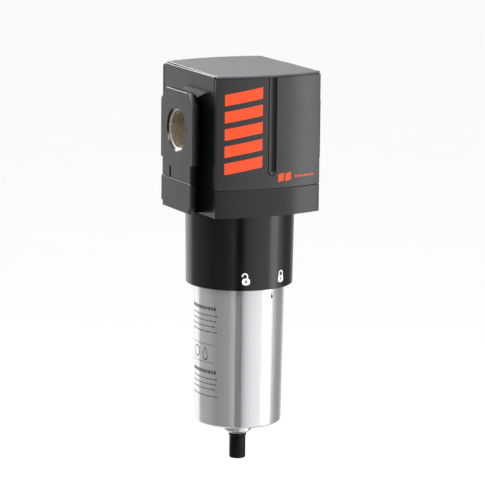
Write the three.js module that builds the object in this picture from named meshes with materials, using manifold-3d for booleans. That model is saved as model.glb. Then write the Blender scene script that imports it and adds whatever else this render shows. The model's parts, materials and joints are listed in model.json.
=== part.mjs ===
// A large modular compressed air filter: a two-piece die-cast head with threaded side ports,
// a turn-to-lock aluminium bowl and a float drain with a screw-down knob under it.
// Millimetres, +Z up. The origin is where the port axis (X) crosses the bowl axis (Z).
// Air goes in at -X and out at +X, and the front face looks along -Y.
import * as THREE from 'three';
import { mergeVertices } from 'three/addons/utils/BufferGeometryUtils.js';
import Module from 'manifold-3d';

const wasm = await Module();
wasm.setup();

// ---------- driving dimensions ----------
// Clearances
const gap = 0.3;                  // between faces that touch
const runGap = 0.5;               // radial, round a piece that slides or turns
const weld = 0.05;                // how far two halves of one casting run into each other

// Body: castings, covers and top plate
const bodyWidth = 90;
const bodyDepth = 95;             // from corner to corner, front to back
const bodyHeight = 109.4;
const bodyTop = 45.8;             // above the port axis
const faceBulge = 7;              // bow of the front and rear faces at mid width
const baseHeight = 21.4;          // strip of the lower casting that shows under the covers
const coverEdge = 3;              // thickness of a cover at its side edges
const coverWall = 2.6;
const coverRib = 14;              // solid rib behind the groove
const grooveWidth = 7.4;
const grooveDepth = 2.9;
const grooveRise = 10.2;          // foot of the groove above the cover's lower edge
const plateThickness = 1.8;
const plateProud = 0.5;           // how far the top plate stands above the side rims
const plateSideRear = 3.6;        // shadow gap beside the top plate at the back
const plateSideFront = 0.8;       // and at the front
const rimInset = 1.2;             // width of the side rims that frame the top plate
const pocketWall = 6;             // round the weight-saving pockets behind the covers

// Side flanges and ports
const flangeProud = 10.6;         // port face, from the side wall
const flangeWidth = 56.6;
const flangeTop = 30.6;           // above the port axis
const flangePlate = 5;            // straight part of the flange, outside the dovetail
const dovetail = 5.2;             // how far the flange's back tapers in on each side
const flangeChamferY = 9.2;
const flangeChamferZ = 10.2;
const clampNotch = 3.4;           // depth of the clamp notches in the flange's vertical edges
const clampNotchHeight = 14;
const slitWidth = 2.2;
const slitY = 11;
const slitHeight = 8.6;
const slitDepth = 2.4;
const footRise = 3;               // how far the lower flange block rises above the base strip
const footWidth = 52;
const footProud = 0.5;            // beyond the port face
const footNotch = 2.4;
const footNotchHeight = 4.2;
const portMinor = 15.15;          // minor radius of the G1 port thread
const portLead = 2.2;             // chamfer of the port's mouth
const portWall = 8;
const portWeb = 5.5;              // wall between the inlet port and the outlet port
const portFloor = 6.8;            // wall between the inlet port and the annulus under it
const ductRadius = 10.5;          // central outlet duct
const spigotWall = 3.6;
const spigotReach = 18;           // below the casting's parting plane
const annulusStep = 2;            // annulus in the head, outside the bowl's inner wall

// Bowl
const bowlTopRadius = 35.6;
const bowlDraft = 1.5;            // smaller radius at the foot
const bowlShown = 112.2;          // length in sight below the collar
const bowlInsert = 13.6;          // how far the rim reaches up into the base
const bowlWall = 4.6;
const bowlFloorThickness = 4.2;
const bowlFootEdge = 1.2;
const neckRadius = 11.2;
const neckDrop = 3.6;             // from the bowl's edge to the neck
const neckHeight = 4.6;
const neckTaper = 2.8;
const neckEndRadius = 7.2;
const bowlSealDrop = 6;           // from the bowl's rim to its seal
const bowlSealSection = 1.2;
const bowlSealGap = 0.25;         // between the seal and the collar's bore

// Collar and bayonet
const collarLength = 60.6;
const collarWall = 5.8;           // at the collar's foot
const collarDraft = 0.8;
const collarSlip = 0.7;           // radial clearance round the bowl
const collarCeilingGap = 2;       // above the bowl's rim
const lugCount = 3;
const lugSpan = 24;               // degrees
const lugReach = 3.3;
const lugRise = 20.2;             // top of the lugs above the collar's foot
const lugHeight = 6;
const lugFirst = 90;              // degrees, first lug with the bowl locked
const unlockTurn = 42.4;          // degrees from locked to unlocked
const slotMargin = 1;             // degrees of freedom at each end of a slot
const slotRoom = 0.4;             // radial, outside the lugs

// Castings' fasteners and seal
const screwInset = 9;             // from the body's corners, both ways
const screwRadius = 3;
const screwHeadRadius = 5;
const screwHeadHeight = 6;
const screwSocket = 2.5;
const screwSink = 7;
const bodySealInset = 3.3;        // outside the collar's bore
const bodySealSection = 1;

// Filter element, hung on the centre stud
const studRadius = 3;
const studGrip = 9;               // length held in the roof of the outlet port
const elementRoom = 6;            // air space round the element, inside the bowl
const mediaThickness = 7.6;
const elementLength = 74;
const pleatCount = 30;
const pleatDepth = 3.4;
const capThickness = 3;
const capWall = 0.9;
const capRim = 4;
const coreWall = 1.6;
const coreHoleRadius = 3.5;
const coreRows = 3;
const coreHoles = 3;              // holes right through, in each row
const gasketThickness = 2;
const baffleInset = 2;            // from the bowl's wall
const baffleThickness = 2.2;
const baffleSkirt = 7;
const nutAcross = 13;
const nutHeight = 6;
const studEnd = 2.5;              // stud shown below the nut
const swirlInset = 0.7;           // from the bowl's wall
const swirlWall = 1.6;
const swirlHeight = 8;
const vaneCount = 8;
const vaneThickness = 1.4;
const vaneTilt = 38;              // degrees

// Float drain
const drainBore = 4.8;            // hole through the bowl's neck
const drainFlangeRadius = 12.5;
const drainFlange = 3;
const drainSealInset = 3;         // from the edge of the drain's flange
const drainSealSection = 0.8;
const seatHeight = 4;
const seatRadius = 1.7;
const chamberWall = 1.4;
const guideRadius = 7.5;
const guideWall = 2.6;
const guideHeight = 35.9;
const floatRestHeight = 2.6;      // collar on the drain flange that the float rests on
const floatRestWall = 2.5;
const floatWall = 3;
const floatRadius = 18;
const floatHeight = 24;
const lockNutRadius = 7.1;
const lockNutHeight = 2.5;
const knobRadius = 6.46;
const knobLength = 17.3;
const knobFloor = 4.3;
const knobOutlet = 1.6;
const knobFlutes = 16;
const fluteRadius = 0.3;
const flutePlain = 2;             // plain band above the flutes
const knobChamfer = 0.8;
const stemRadius = 1.2;
const stemDiscHeight = 1.2;
const stemFootHeight = 0.9;
const stemSealHeight = 1.5;
const jetRadius = 0.9;
const jetCapHeight = 3;
const jetPlug = 3;
const leverPivotX = -6;
const leverPivotRise = 4.5;       // pivot above the jet cap
const leverWidth = 4.4;
const leverThickness = 2.4;
const leverTail = 2;              // behind the pivot
const leverLeg = 2.5;
const leverLegInset = 3.5;        // from the float's edge
const pivotRadius = 0.95;
const earThickness = 1.8;
const earBack = 1.5;              // from the pivot
const earFront = 2;
const knuckleWall = 1.1;          // round the lever's pivot hole
const padRadius = 1.8;
const strainerRoom = 2.6;         // round the float
const strainerWall = 0.9;
const strainerHeight = 44;
const strainerSlots = 7;          // right through
const strainerSlotWidth = 3;
const strainerMargin = 6;         // plain band above and below the slots

// Facets round a full circle
const fine = 48;
const medium = 24;
const coarse = 12;
const tiny = 8;
const hexagonal = 6;

// ---------- worked out from them ----------
const halfWidth = bodyWidth / 2;
const halfDepth = bodyDepth / 2;
const castingHalfDepth = halfDepth - coverEdge - gap;
const bodyBottom = bodyTop - bodyHeight;
const coverPart = bodyBottom + baseHeight;
const ledgeTop = bodyTop + plateProud - plateThickness - gap;
const flangeReach = halfWidth + flangeProud;
const flangeFoot = coverPart + footRise;
const spigotRadius = ductRadius + spigotWall;
const spigotFoot = coverPart - spigotReach;
const inletEnd = ductRadius + portWeb;
const annulusTop = -portMinor - portFloor;
const pocketFoot = annulusTop + pocketWall;
const screwX = halfWidth - screwInset;
const screwY = halfDepth - screwInset;
const screwTip = pocketFoot - pocketWall;

const collarBore = bowlTopRadius + collarSlip;
const collarFoot = bodyBottom - collarLength;
const bodySealRadius = collarBore + bodySealInset;
const collarFootRadius = collarBore + collarWall;
const bowlTop = bodyBottom + bowlInsert;
const bowlInner = bowlTopRadius - bowlWall;
const bowlFoot = collarFoot - bowlShown;
const bowlFootRadius = bowlTopRadius - bowlDraft;
const bowlFloor = bowlFoot + bowlFloorThickness;
const bowlSealZ = bowlTop - bowlSealDrop;
const bowlSealRadius = collarBore - bowlSealGap - bowlSealSection;
const neckTop = bowlFoot - neckDrop;
const neckFoot = neckTop - neckHeight;
const neckEnd = neckFoot - neckTaper;
const collarCeiling = bowlTop + collarCeilingGap;
const lugTop = collarFoot + lugRise;

const annulusRadius = bowlInner + annulusStep;
const elementOuter = bowlInner - elementRoom;
const elementInner = elementOuter - mediaThickness;
const capRadius = elementOuter + gap + capWall;
const elementTop = spigotFoot - gasketThickness - 2 * gap;
const elementUpper = elementTop - capThickness - gap;
const elementLower = elementUpper - elementLength;
const lowerCapFoot = elementLower - gap - capThickness;
const baffleRadius = bowlInner - baffleInset;
const baffleFoot = lowerCapFoot - gap - baffleThickness;
const nutFoot = baffleFoot - gap - nutHeight;

const drainFoot = bowlFloor + gap;
const seatTop = drainFoot + drainFlange / 2;
const seatFoot = seatTop - seatHeight;
const chamberRadius = drainBore - gap - chamberWall;
const guideBore = guideRadius - guideWall;
const guideTop = drainFoot + guideHeight;
const drainSealRadius = drainFlangeRadius - drainSealInset;
const floatRestRadius = guideRadius + floatRestWall;
const floatFoot = drainFoot + drainFlange + floatRestHeight + gap;
const floatTop = floatFoot + floatHeight;
const jetTop = guideTop + gap + jetCapHeight;
const pivotZ = jetTop + leverPivotRise;
const leverReach = floatRadius - leverLegInset;
const lockNutTop = neckEnd - gap;
const knobTop = lockNutTop - lockNutHeight - gap;
const knobFoot = knobTop - knobLength;
const knobBoreFoot = knobFoot + knobFloor;
const shankFoot = knobBoreFoot + stemFootHeight + 2 * gap;
const stemDisc = chamberRadius - runGap;
const strainerRadius = floatRadius + strainerRoom + strainerWall;

// ---------- finishes ----------
function finish(color, roughness, metalness) {
  return { color, roughness, metalness };
}
const blackPaint = finish(0x1b1b1c, 0.4, 0.2);
const blackPlastic = finish(0x202022, 0.42, 0.0);
const greyPlate = finish(0x55555a, 0.5, 0.1);
const bareAluminium = finish(0xc9cbce, 0.33, 0.9);
const zincSteel = finish(0xb4b6b8, 0.35, 1.0);
const brass = finish(0xb89552, 0.35, 1.0);
const blackRubber = finish(0x151515, 0.8, 0.0);
const whiteMedia = finish(0xe4e0d2, 0.9, 0.0);
const naturalPlastic = finish(0xd8d6cc, 0.55, 0.0);

// ---------- shape helpers ----------
const radians = THREE.MathUtils.degToRad;

// Turns a closed geometry into a solid with its faces pointing out.
function solid(geometry) {
  const bare = geometry.index ? geometry.toNonIndexed() : geometry.clone();
  bare.deleteAttribute('normal');
  bare.deleteAttribute('uv');
  const merged = mergeVertices(bare, 1e-4);
  const index = Array.from(merged.index.array);
  const kept = [];
  for (let i = 0; i < index.length; i += 3) {
    const [a, b, c] = index.slice(i, i + 3);
    if (a !== b && b !== c && c !== a) kept.push(a, b, c);
  }
  const mesh = new wasm.Mesh({
    numProp: 3,
    vertProperties: new Float32Array(merged.attributes.position.array),
    triVerts: new Uint32Array(kept),
  });
  return new wasm.Manifold(mesh);
}

function join(first, ...others) {
  return others.reduce((sum, other) => sum.add(other), first);
}

function cut(first, ...others) {
  return others.reduce((rest, other) => rest.subtract(other), first);
}

function part(name, body, look) {
  const { vertProperties, triVerts, numProp } = body.getMesh();
  const positions = new Float32Array((vertProperties.length / numProp) * 3);
  for (let i = 0; i < positions.length / 3; i += 1) {
    positions.set(vertProperties.subarray(i * numProp, i * numProp + 3), i * 3);
  }
  const geometry = new THREE.BufferGeometry();
  geometry.setAttribute('position', new THREE.BufferAttribute(positions, 3));
  geometry.setIndex(new THREE.BufferAttribute(new Uint32Array(triVerts), 1));
  geometry.computeVertexNormals();
  const mesh = new THREE.Mesh(geometry, new THREE.MeshStandardMaterial(look));
  mesh.name = name;
  return mesh;
}

function box(x0, x1, y0, y1, z0, z1) {
  const geometry = new THREE.BoxGeometry(x1 - x0, y1 - y0, z1 - z0);
  geometry.translate((x0 + x1) / 2, (y0 + y1) / 2, (z0 + z1) / 2);
  return solid(geometry);
}

// A solid turned about Z from a counterclockwise outline of [radius, z] points.
function turned(outline, facets = medium) {
  const closed = [...outline, outline[0]];
  const points = closed.map(([radius, z]) => new THREE.Vector2(radius, z));
  return solid(new THREE.LatheGeometry(points, facets).rotateX(Math.PI / 2));
}

function disc(radius, z0, z1, facets = medium) {
  return turned([[0, z0], [radius, z0], [radius, z1], [0, z1]], facets);
}

function tube(inner, outer, z0, z1, facets = medium) {
  return turned([[inner, z0], [outer, z0], [outer, z1], [inner, z1]], facets);
}

// A round seal ring, six-sided in section.
function ringSeal(radius, section, z, facets = fine) {
  const outline = [];
  for (let i = 0; i < 6; i += 1) {
    const angle = (i * Math.PI) / 3;
    outline.push([radius + section * Math.cos(angle), z + section * Math.sin(angle)]);
  }
  return turned(outline, facets);
}

function rodX(radius, x0, x1, facets = medium) {
  return disc(radius, x0, x1, facets).rotate([0, 90, 0]);
}

function rodY(radius, y0, y1, facets = coarse) {
  return disc(radius, -y1, -y0, facets).rotate([90, 0, 0]);
}

function extruded(shape, z0, z1, curveSegments = 14) {
  const geometry = new THREE.ExtrudeGeometry(shape, {
    depth: z1 - z0,
    bevelEnabled: false,
    curveSegments,
  });
  return solid(geometry.translate(0, 0, z0));
}

function polygon(points) {
  return new THREE.Shape(points.map(([x, y]) => new THREE.Vector2(x, y)));
}

// A wedge of a ring, centred on an angle in degrees.
function ringSector(inner, outer, centre, span, z0, z1) {
  const from = radians(centre - span / 2);
  const to = radians(centre + span / 2);
  const shape = new THREE.Shape();
  shape.absarc(0, 0, outer, from, to, false);
  shape.absarc(0, 0, inner, to, from, true);
  return extruded(shape, z0, z1, 10);
}

// Repeats a solid at points on the XY plane.
function copies(body, places) {
  return join(...places.map(([x, y]) => body.translate([x, y, 0])));
}

// Adds an arc that bows out by `bulge` from (x, y) at -X to (x, y) at +X, or back.
function addBow(shape, x, y, bulge, side) {
  if (bulge <= 0) {
    shape.lineTo(-side * x, y);
    return;
  }
  const radius = (x * x + bulge * bulge) / (2 * bulge);
  const half = Math.asin(x / radius);
  const centreY = y + side * (bulge - radius);
  const middle = (side * Math.PI) / 2;
  shape.absarc(0, centreY, radius, middle - half, middle + half, false);
}

// Plan of the whole body: straight sides, bowed front and back.
function bodyPlan(x, y, bulge) {
  const shape = new THREE.Shape();
  addBow(shape, x, -y, bulge, -1);
  addBow(shape, x, y, bulge, 1);
  shape.closePath();
  return shape;
}

// Plan of a front cover: bowed front, straight back.
function coverPlan(x, y, bulge, back) {
  const shape = new THREE.Shape();
  addBow(shape, x, -y, bulge, -1);
  shape.lineTo(x, back);
  shape.lineTo(-x, back);
  shape.closePath();
  return shape;
}

// ---------- castings ----------
// Flange outline in (Y, Z), with chamfered top corners and clamp notches near its foot.
function flangePlan(inset) {
  const y = flangeWidth / 2 - inset;
  const top = flangeTop - inset;
  const notch = y - clampNotch;
  const notchTop = flangeFoot + clampNotchHeight;
  return polygon([
    [-notch, flangeFoot],
    [notch, flangeFoot],
    [notch, notchTop],
    [y, notchTop],
    [y, top - flangeChamferZ],
    [y - flangeChamferY, top],
    [-y + flangeChamferY, top],
    [-y, top - flangeChamferZ],
    [-y, notchTop],
    [-notch, notchTop],
  ]);
}

// Outline in (Y, Z) of the flange block on the lower casting.
function footPlan(inset) {
  const y = footWidth / 2 - inset;
  return polygon([
    [-y + footNotch, bodyBottom + gap],
    [y - footNotch, bodyBottom + gap],
    [y - footNotch, bodyBottom + footNotchHeight],
    [y, bodyBottom + footNotchHeight],
    [y, flangeFoot - gap],
    [-y, flangeFoot - gap],
    [-y, bodyBottom + footNotchHeight],
    [-y + footNotch, bodyBottom + footNotchHeight],
  ]);
}

// Extrudes a (Y, Z) outline from the wall to `reach`, narrower behind the straight plate.
function dovetailBlock(plan, reach) {
  const plateStart = reach - flangePlate;
  const plate = new THREE.ExtrudeGeometry(plan(0), { depth: flangePlate, bevelEnabled: false });
  const root = halfWidth - 1;
  const neckDepth = plateStart + weld - root;
  const neck = new THREE.ExtrudeGeometry(plan(0), { depth: neckDepth, bevelEnabled: false });
  const narrow = plan(dovetail).getPoints();
  const wide = plan(0).getPoints();
  const position = neck.attributes.position;
  for (let i = 0; i < position.count; i += 1) {
    if (position.getZ(i) < neckDepth / 2) {
      const at = wide.findIndex((point) => (
        Math.hypot(point.x - position.getX(i), point.y - position.getY(i)) < 1e-3
      ));
      position.setXY(i, narrow[at].x, narrow[at].y);
    }
  }
  const lifted = join(solid(plate).translate([0, 0, plateStart]), solid(neck).translate([0, 0, root]));
  return lifted.rotate([90, 0, 90]);
}

function onBothSides(body) {
  return join(body, body.rotate([0, 0, 180]));
}

// The bore of a port, along +X from `from` to the flange face, with its chamfered mouth.
function portBore(from) {
  const outline = [
    [0, from],
    [portMinor, from],
    [portMinor, flangeReach - portLead],
    [portMinor + portLead, flangeReach],
    [portMinor + portLead, flangeReach + 1],
    [0, flangeReach + 1],
  ];
  return turned(outline, medium).rotate([0, 90, 0]);
}

function screwPlaces() {
  return [[screwX, screwY], [-screwX, screwY], [-screwX, -screwY], [screwX, -screwY]];
}

function makeHeadCasting() {
  const foot = coverPart + gap;
  const block = box(-halfWidth, halfWidth, -castingHalfDepth, castingHalfDepth, foot, bodyTop);
  const flanges = onBothSides(dovetailBlock(flangePlan, flangeReach));
  const slit = box(flangeReach - slitDepth, flangeReach + 1, slitY - slitWidth / 2,
    slitY + slitWidth / 2, flangeFoot - 1, flangeFoot + slitHeight);
  const mirroredSlit = slit.rotate([0, 0, 180]).mirror([0, 1, 0]);
  const rim = halfWidth - rimInset;
  const tray = box(-rim, rim, -halfDepth, halfDepth, ledgeTop, bodyTop + 1);
  const pocketX = halfWidth - pocketWall;
  const pocketFront = portMinor + portWall;
  const pocket = box(-pocketX, pocketX, pocketFront, halfDepth, pocketFoot, ledgeTop - pocketWall);
  const annulus = disc(annulusRadius, foot - 1, annulusTop, fine);
  const spigot = disc(spigotRadius, spigotFoot, annulusTop + 1);
  const duct = disc(ductRadius, spigotFoot - 1, 0);
  const dropRadius = (annulusRadius - spigotRadius) / 2;
  const drop = disc(dropRadius, annulusTop - 1, 0, coarse).translate([-spigotRadius - dropRadius, 0, 0]);
  const inlet = portBore(inletEnd).rotate([0, 0, 180]);
  const outlet = portBore(-ductRadius);
  const studHole = disc(studRadius + gap, 0, portMinor + studGrip + 1, coarse);
  const screwHole = disc(screwRadius + gap, foot - 1, screwTip + 1, coarse);
  const shell = cut(join(block, flanges), slit, mirroredSlit, tray, annulus);
  const withSpigot = join(shell, spigot);
  return cut(withSpigot, onBothSides(pocket), duct, drop, inlet, outlet, studHole,
    copies(screwHole, screwPlaces()));
}

function bayonetSlots() {
  const reach = bowlTopRadius + lugReach + slotRoom;
  const slots = [];
  for (let i = 0; i < lugCount; i += 1) {
    const locked = lugFirst + (i * 360) / lugCount;
    const unlocked = locked - unlockTurn;
    const span = lugSpan + 2 * slotMargin;
    const low = lugTop - lugHeight - gap;
    slots.push(ringSector(collarBore - 1, reach, unlocked, span, collarFoot - 1, lugTop + gap));
    slots.push(ringSector(collarBore - 1, reach, (locked + unlocked) / 2, span + unlockTurn, low,
      lugTop + gap));
  }
  return join(...slots);
}

function makeCollarCasting() {
  const base = extruded(bodyPlan(halfWidth, halfDepth, faceBulge), bodyBottom, coverPart);
  const wall = halfWidth + gap;
  const aboveBase = box(0, wall, -footWidth, footWidth, coverPart, flangeFoot + 1);
  const foot = dovetailBlock(footPlan, flangeReach + footProud).subtract(aboveBase);
  const feet = onBothSides(foot);
  const skirt = turned([
    [collarBore - 1, collarFoot],
    [collarFootRadius, collarFoot],
    [collarFootRadius + collarDraft, bodyBottom + 1],
    [collarBore - 1, bodyBottom + 1],
  ], fine);
  const bore = disc(collarBore, collarFoot - 1, collarCeiling, fine);
  const mouth = disc(annulusRadius, collarCeiling - 1, coverPart + 1, fine);
  const groove = tube(bodySealRadius - bodySealSection - gap, bodySealRadius + bodySealSection + gap,
    coverPart - 2 * bodySealSection - gap, coverPart + 1, fine);
  const hole = disc(screwRadius + gap, bodyBottom - 1, coverPart + 1, coarse);
  const sink = disc(screwHeadRadius + gap, bodyBottom - 1, bodyBottom + screwSink, coarse);
  const places = screwPlaces();
  return cut(join(base, feet, skirt), bore, mouth, groove, copies(hole, places),
    copies(sink, places), bayonetSlots());
}

function makeBodyScrew(x, y) {
  const headTop = bodyBottom + screwSink - gap;
  const headFoot = headTop - screwHeadHeight;
  const head = disc(screwHeadRadius, headFoot, headTop, coarse);
  const shank = disc(screwRadius, headTop - 1, screwTip, coarse);
  const socket = disc(screwSocket, headFoot - 1, headFoot + screwHeadHeight / 2, hexagonal);
  return cut(join(head, shank), socket).translate([x, y, 0]);
}

function makeBodySeal() {
  return ringSeal(bodySealRadius, bodySealSection, coverPart - bodySealSection - gap / 2);
}

// ---------- covers ----------
function makeCover() {
  const back = -castingHalfDepth - gap;
  const foot = coverPart + gap;
  const top = ledgeTop;
  const shell = extruded(coverPlan(halfWidth, halfDepth, faceBulge, back), foot, top);
  const inner = coverPlan(halfWidth - coverWall, halfDepth - coverWall, faceBulge, back + 1);
  const hollow = extruded(inner, foot + coverWall, top - coverWall);
  const rib = box(-coverRib / 2, coverRib / 2, -halfDepth - faceBulge, back + 1, foot, top);
  const depth = Math.min(grooveDepth, grooveWidth / 2);
  const radius = (grooveWidth * grooveWidth / 4 + depth * depth) / (2 * depth);
  const centreY = -halfDepth - faceBulge - radius + depth;
  const grooveEnd = coverPart + grooveRise + grooveWidth / 2;
  const groove = disc(radius, grooveEnd, top + 1, coarse).translate([0, centreY, 0]);
  const tip = solid(new THREE.SphereGeometry(radius, coarse, tiny)).translate([0, centreY, grooveEnd]);
  return cut(shell, hollow.subtract(rib), groove, tip);
}

function makeTopPlate() {
  const shape = new THREE.Shape();
  const rear = halfWidth - plateSideRear;
  const front = halfWidth - plateSideFront;
  addBow(shape, front, -halfDepth, faceBulge, -1);
  addBow(shape, rear, halfDepth, faceBulge, 1);
  shape.closePath();
  const foot = ledgeTop + gap;
  const plate = extruded(shape, foot, foot + plateThickness);
  const rim = halfWidth - rimInset;
  const rearEdge = halfDepth + 1;
  const left = box(-halfWidth - 1, -rim + gap, -castingHalfDepth - gap, rearEdge, foot - 1, bodyTop + 1);
  const right = left.rotate([0, 0, 180]).mirror([0, 1, 0]);
  return cut(plate, left, right);
}

// ---------- filter element ----------
function makeSwirlRing() {
  const top = spigotFoot + swirlHeight;
  const hubInner = spigotRadius + gap;
  const hub = tube(hubInner, hubInner + swirlWall, spigotFoot, top);
  const swirlOuter = bowlInner - swirlInset;
  const rim = tube(swirlOuter - swirlWall, swirlOuter, spigotFoot, top);
  const from = hubInner + swirlWall / 2;
  const to = swirlOuter - swirlWall / 2;
  const slope = swirlHeight / Math.cos(radians(vaneTilt));
  const tall = box(from, to, -vaneThickness / 2, vaneThickness / 2, -slope, slope);
  const middle = (spigotFoot + top) / 2;
  const band = tube(hubInner + swirlWall / 4, swirlOuter - swirlWall / 4, spigotFoot, top);
  const tilted = tall.rotate([vaneTilt, 0, 0]).translate([0, 0, middle]);
  const vanes = [];
  for (let i = 0; i < vaneCount; i += 1) {
    vanes.push(tilted.rotate([0, 0, (i * 360) / vaneCount]));
  }
  return join(hub, rim, join(...vanes).intersect(band));
}

function makeElementGasket() {
  const top = spigotFoot - gap;
  return tube(ductRadius, spigotRadius, top - gasketThickness, top);
}

function makeElementCap(holeRadius, face, direction) {
  const outer = face + direction * capThickness;
  const rimEnd = face - direction * capRim;
  const plate = tube(holeRadius, capRadius, Math.min(face, outer), Math.max(face, outer));
  const rim = tube(elementOuter + gap, capRadius, Math.min(rimEnd, outer), Math.max(rimEnd, outer));
  return join(plate, rim);
}

function makeFilterElement() {
  const shape = new THREE.Shape();
  for (let i = 0; i < 2 * pleatCount; i += 1) {
    const radius = i % 2 === 0 ? elementOuter : elementOuter - pleatDepth;
    const angle = (i * Math.PI) / pleatCount;
    const place = [radius * Math.cos(angle), radius * Math.sin(angle)];
    if (i === 0) shape.moveTo(...place);
    else shape.lineTo(...place);
  }
  const bore = disc(elementInner, elementLower - 1, elementUpper + 1);
  return extruded(shape, elementLower, elementUpper).subtract(bore);
}

function makeElementCore() {
  const outer = elementInner - gap;
  const body = tube(outer - coreWall, outer, elementLower, elementUpper);
  const pitch = elementLength / (coreRows + 1);
  const holes = [];
  for (let level = 1; level <= coreRows; level += 1) {
    for (let i = 0; i < coreHoles; i += 1) {
      const hole = rodX(coreHoleRadius, -elementInner - 1, elementInner + 1, hexagonal);
      const turn = ((i + (level % 2) / 2) * 180) / coreHoles;
      holes.push(hole.rotate([0, 0, turn]).translate([0, 0, elementLower + level * pitch]));
    }
  }
  return cut(body, join(...holes));
}

function makeBaffle() {
  const top = baffleFoot + baffleThickness;
  const plate = tube(studRadius + gap, baffleRadius, baffleFoot, top);
  const skirt = tube(baffleRadius - baffleThickness, baffleRadius, baffleFoot - baffleSkirt, top);
  return join(plate, skirt);
}

function makeCentreStud() {
  return disc(studRadius, nutFoot - studEnd, portMinor + studGrip, coarse);
}

function makeRetainerNut() {
  const cornerRadius = nutAcross / 2 / Math.cos(Math.PI / 6);
  const hexagon = disc(cornerRadius, nutFoot, nutFoot + nutHeight, hexagonal);
  return cut(hexagon, disc(studRadius + gap, nutFoot - 1, nutFoot + nutHeight + 1, coarse));
}

// ---------- bowl ----------
function makeBowl() {
  const grooveHalf = bowlSealSection + gap;
  const grooveRadius = bowlSealRadius - bowlSealSection - gap;
  const shell = turned([
    [drainBore, neckEnd],
    [neckEndRadius, neckEnd],
    [neckRadius, neckFoot],
    [neckRadius, neckTop],
    [bowlFootRadius - bowlFootEdge, bowlFoot],
    [bowlFootRadius, bowlFoot + bowlFootEdge],
    [bowlTopRadius, collarFoot],
    [bowlTopRadius, bowlSealZ - grooveHalf],
    [grooveRadius, bowlSealZ - grooveHalf],
    [grooveRadius, bowlSealZ + grooveHalf],
    [bowlTopRadius, bowlSealZ + grooveHalf],
    [bowlTopRadius, bowlTop],
    [bowlInner, bowlTop],
    [bowlInner, bowlFloor],
    [drainBore, bowlFloor],
  ], fine);
  const lugs = [];
  for (let i = 0; i < lugCount; i += 1) {
    const angle = lugFirst + (i * 360) / lugCount;
    const outer = bowlTopRadius + lugReach;
    const low = lugTop - lugHeight;
    lugs.push(ringSector(bowlTopRadius - 1, outer, angle, lugSpan, low, lugTop));
  }
  return join(shell, ...lugs);
}

// ---------- float drain ----------
function makeDrainHousing() {
  const shankRadius = drainBore - gap;
  const flangeTopZ = drainFoot + drainFlange;
  const restTop = flangeTopZ + floatRestHeight;
  const body = turned([
    [chamberRadius, shankFoot],
    [shankRadius, shankFoot],
    [shankRadius, drainFoot],
    [drainFlangeRadius, drainFoot],
    [drainFlangeRadius, flangeTopZ],
    [floatRestRadius, flangeTopZ],
    [floatRestRadius, restTop],
    [guideRadius, restTop],
    [guideRadius, guideTop],
    [guideBore, guideTop],
    [guideBore, seatTop],
    [seatRadius, seatTop],
    [seatRadius, seatFoot],
    [chamberRadius, seatFoot],
  ]);
  const sealGap = gap / 2;
  const seat = tube(drainSealRadius - drainSealSection - gap, drainSealRadius + drainSealSection + gap,
    drainFoot - 1, bowlFloor + 2 * drainSealSection + 2 * sealGap);
  return cut(body, seat);
}

function makeDrainSeal() {
  return ringSeal(drainSealRadius, drainSealSection, bowlFloor + drainSealSection + gap / 2, medium);
}

function makeLockNut() {
  return tube(drainBore, lockNutRadius, lockNutTop - lockNutHeight, lockNutTop);
}

function makeFloat() {
  const body = tube(guideRadius + runGap, floatRadius, floatFoot, floatTop);
  const relief = tube(guideRadius + runGap + floatWall / 2, floatRadius - floatWall, floatFoot - 1,
    floatTop - floatWall, coarse);
  return cut(body, relief);
}

function makeJetCap() {
  const foot = guideTop + gap;
  const plate = disc(guideRadius, foot, jetTop);
  const plug = disc(guideBore - gap, foot - jetPlug - gap, foot + 1, coarse);
  const inner = leverWidth / 2 + gap;
  const outer = inner + earThickness;
  const earTop = pivotZ + 2 * pivotRadius;
  const nearEar = box(leverPivotX - earBack, leverPivotX + earFront, -outer, -inner, jetTop - 1, earTop);
  const farEar = box(leverPivotX - earBack, leverPivotX + earFront, inner, outer, jetTop - 1, earTop);
  const jet = disc(jetRadius, guideTop - 2 * jetPlug, jetTop + 1, tiny);
  const pivot = rodY(pivotRadius + gap, -outer - 1, outer + 1, tiny).translate([leverPivotX, 0, pivotZ]);
  return cut(join(plate, plug, nearEar, farEar), jet, pivot);
}

function makeLever() {
  const side = leverWidth / 2;
  const low = pivotZ - leverThickness / 2;
  const bar = box(leverPivotX - leverTail, leverReach, -side, side, low, low + leverThickness);
  const leg = box(leverReach - leverLeg, leverReach, -side, side, floatTop + gap, low + 1);
  const knuckle = rodY(pivotRadius + gap + knuckleWall, -side, side).translate([leverPivotX, 0, pivotZ]);
  const pivot = rodY(pivotRadius + gap, -side - 1, side + 1, tiny).translate([leverPivotX, 0, pivotZ]);
  return cut(join(bar, leg, knuckle), pivot);
}

function makeLeverPin() {
  const reach = leverWidth / 2 + gap + earThickness;
  return rodY(pivotRadius, -reach, reach, tiny).translate([leverPivotX, 0, pivotZ]);
}

function makeLeverPad() {
  return disc(padRadius, jetTop + gap, pivotZ - leverThickness / 2 - gap, tiny);
}

function makeDrainStem() {
  const sealFoot = seatFoot - gap - stemSealHeight;
  const discTop = sealFoot - gap;
  const head = disc(stemDisc, discTop - stemDiscHeight, discTop, coarse);
  const footTop = shankFoot - gap;
  const foot = disc(stemDisc, footTop - stemFootHeight, footTop, coarse);
  const rod = disc(stemRadius, footTop - stemFootHeight, discTop, tiny);
  return join(head, rod, foot);
}

function makeStemSeal() {
  const top = seatFoot - gap;
  return disc(stemDisc, top - stemSealHeight, top, coarse);
}

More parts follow.
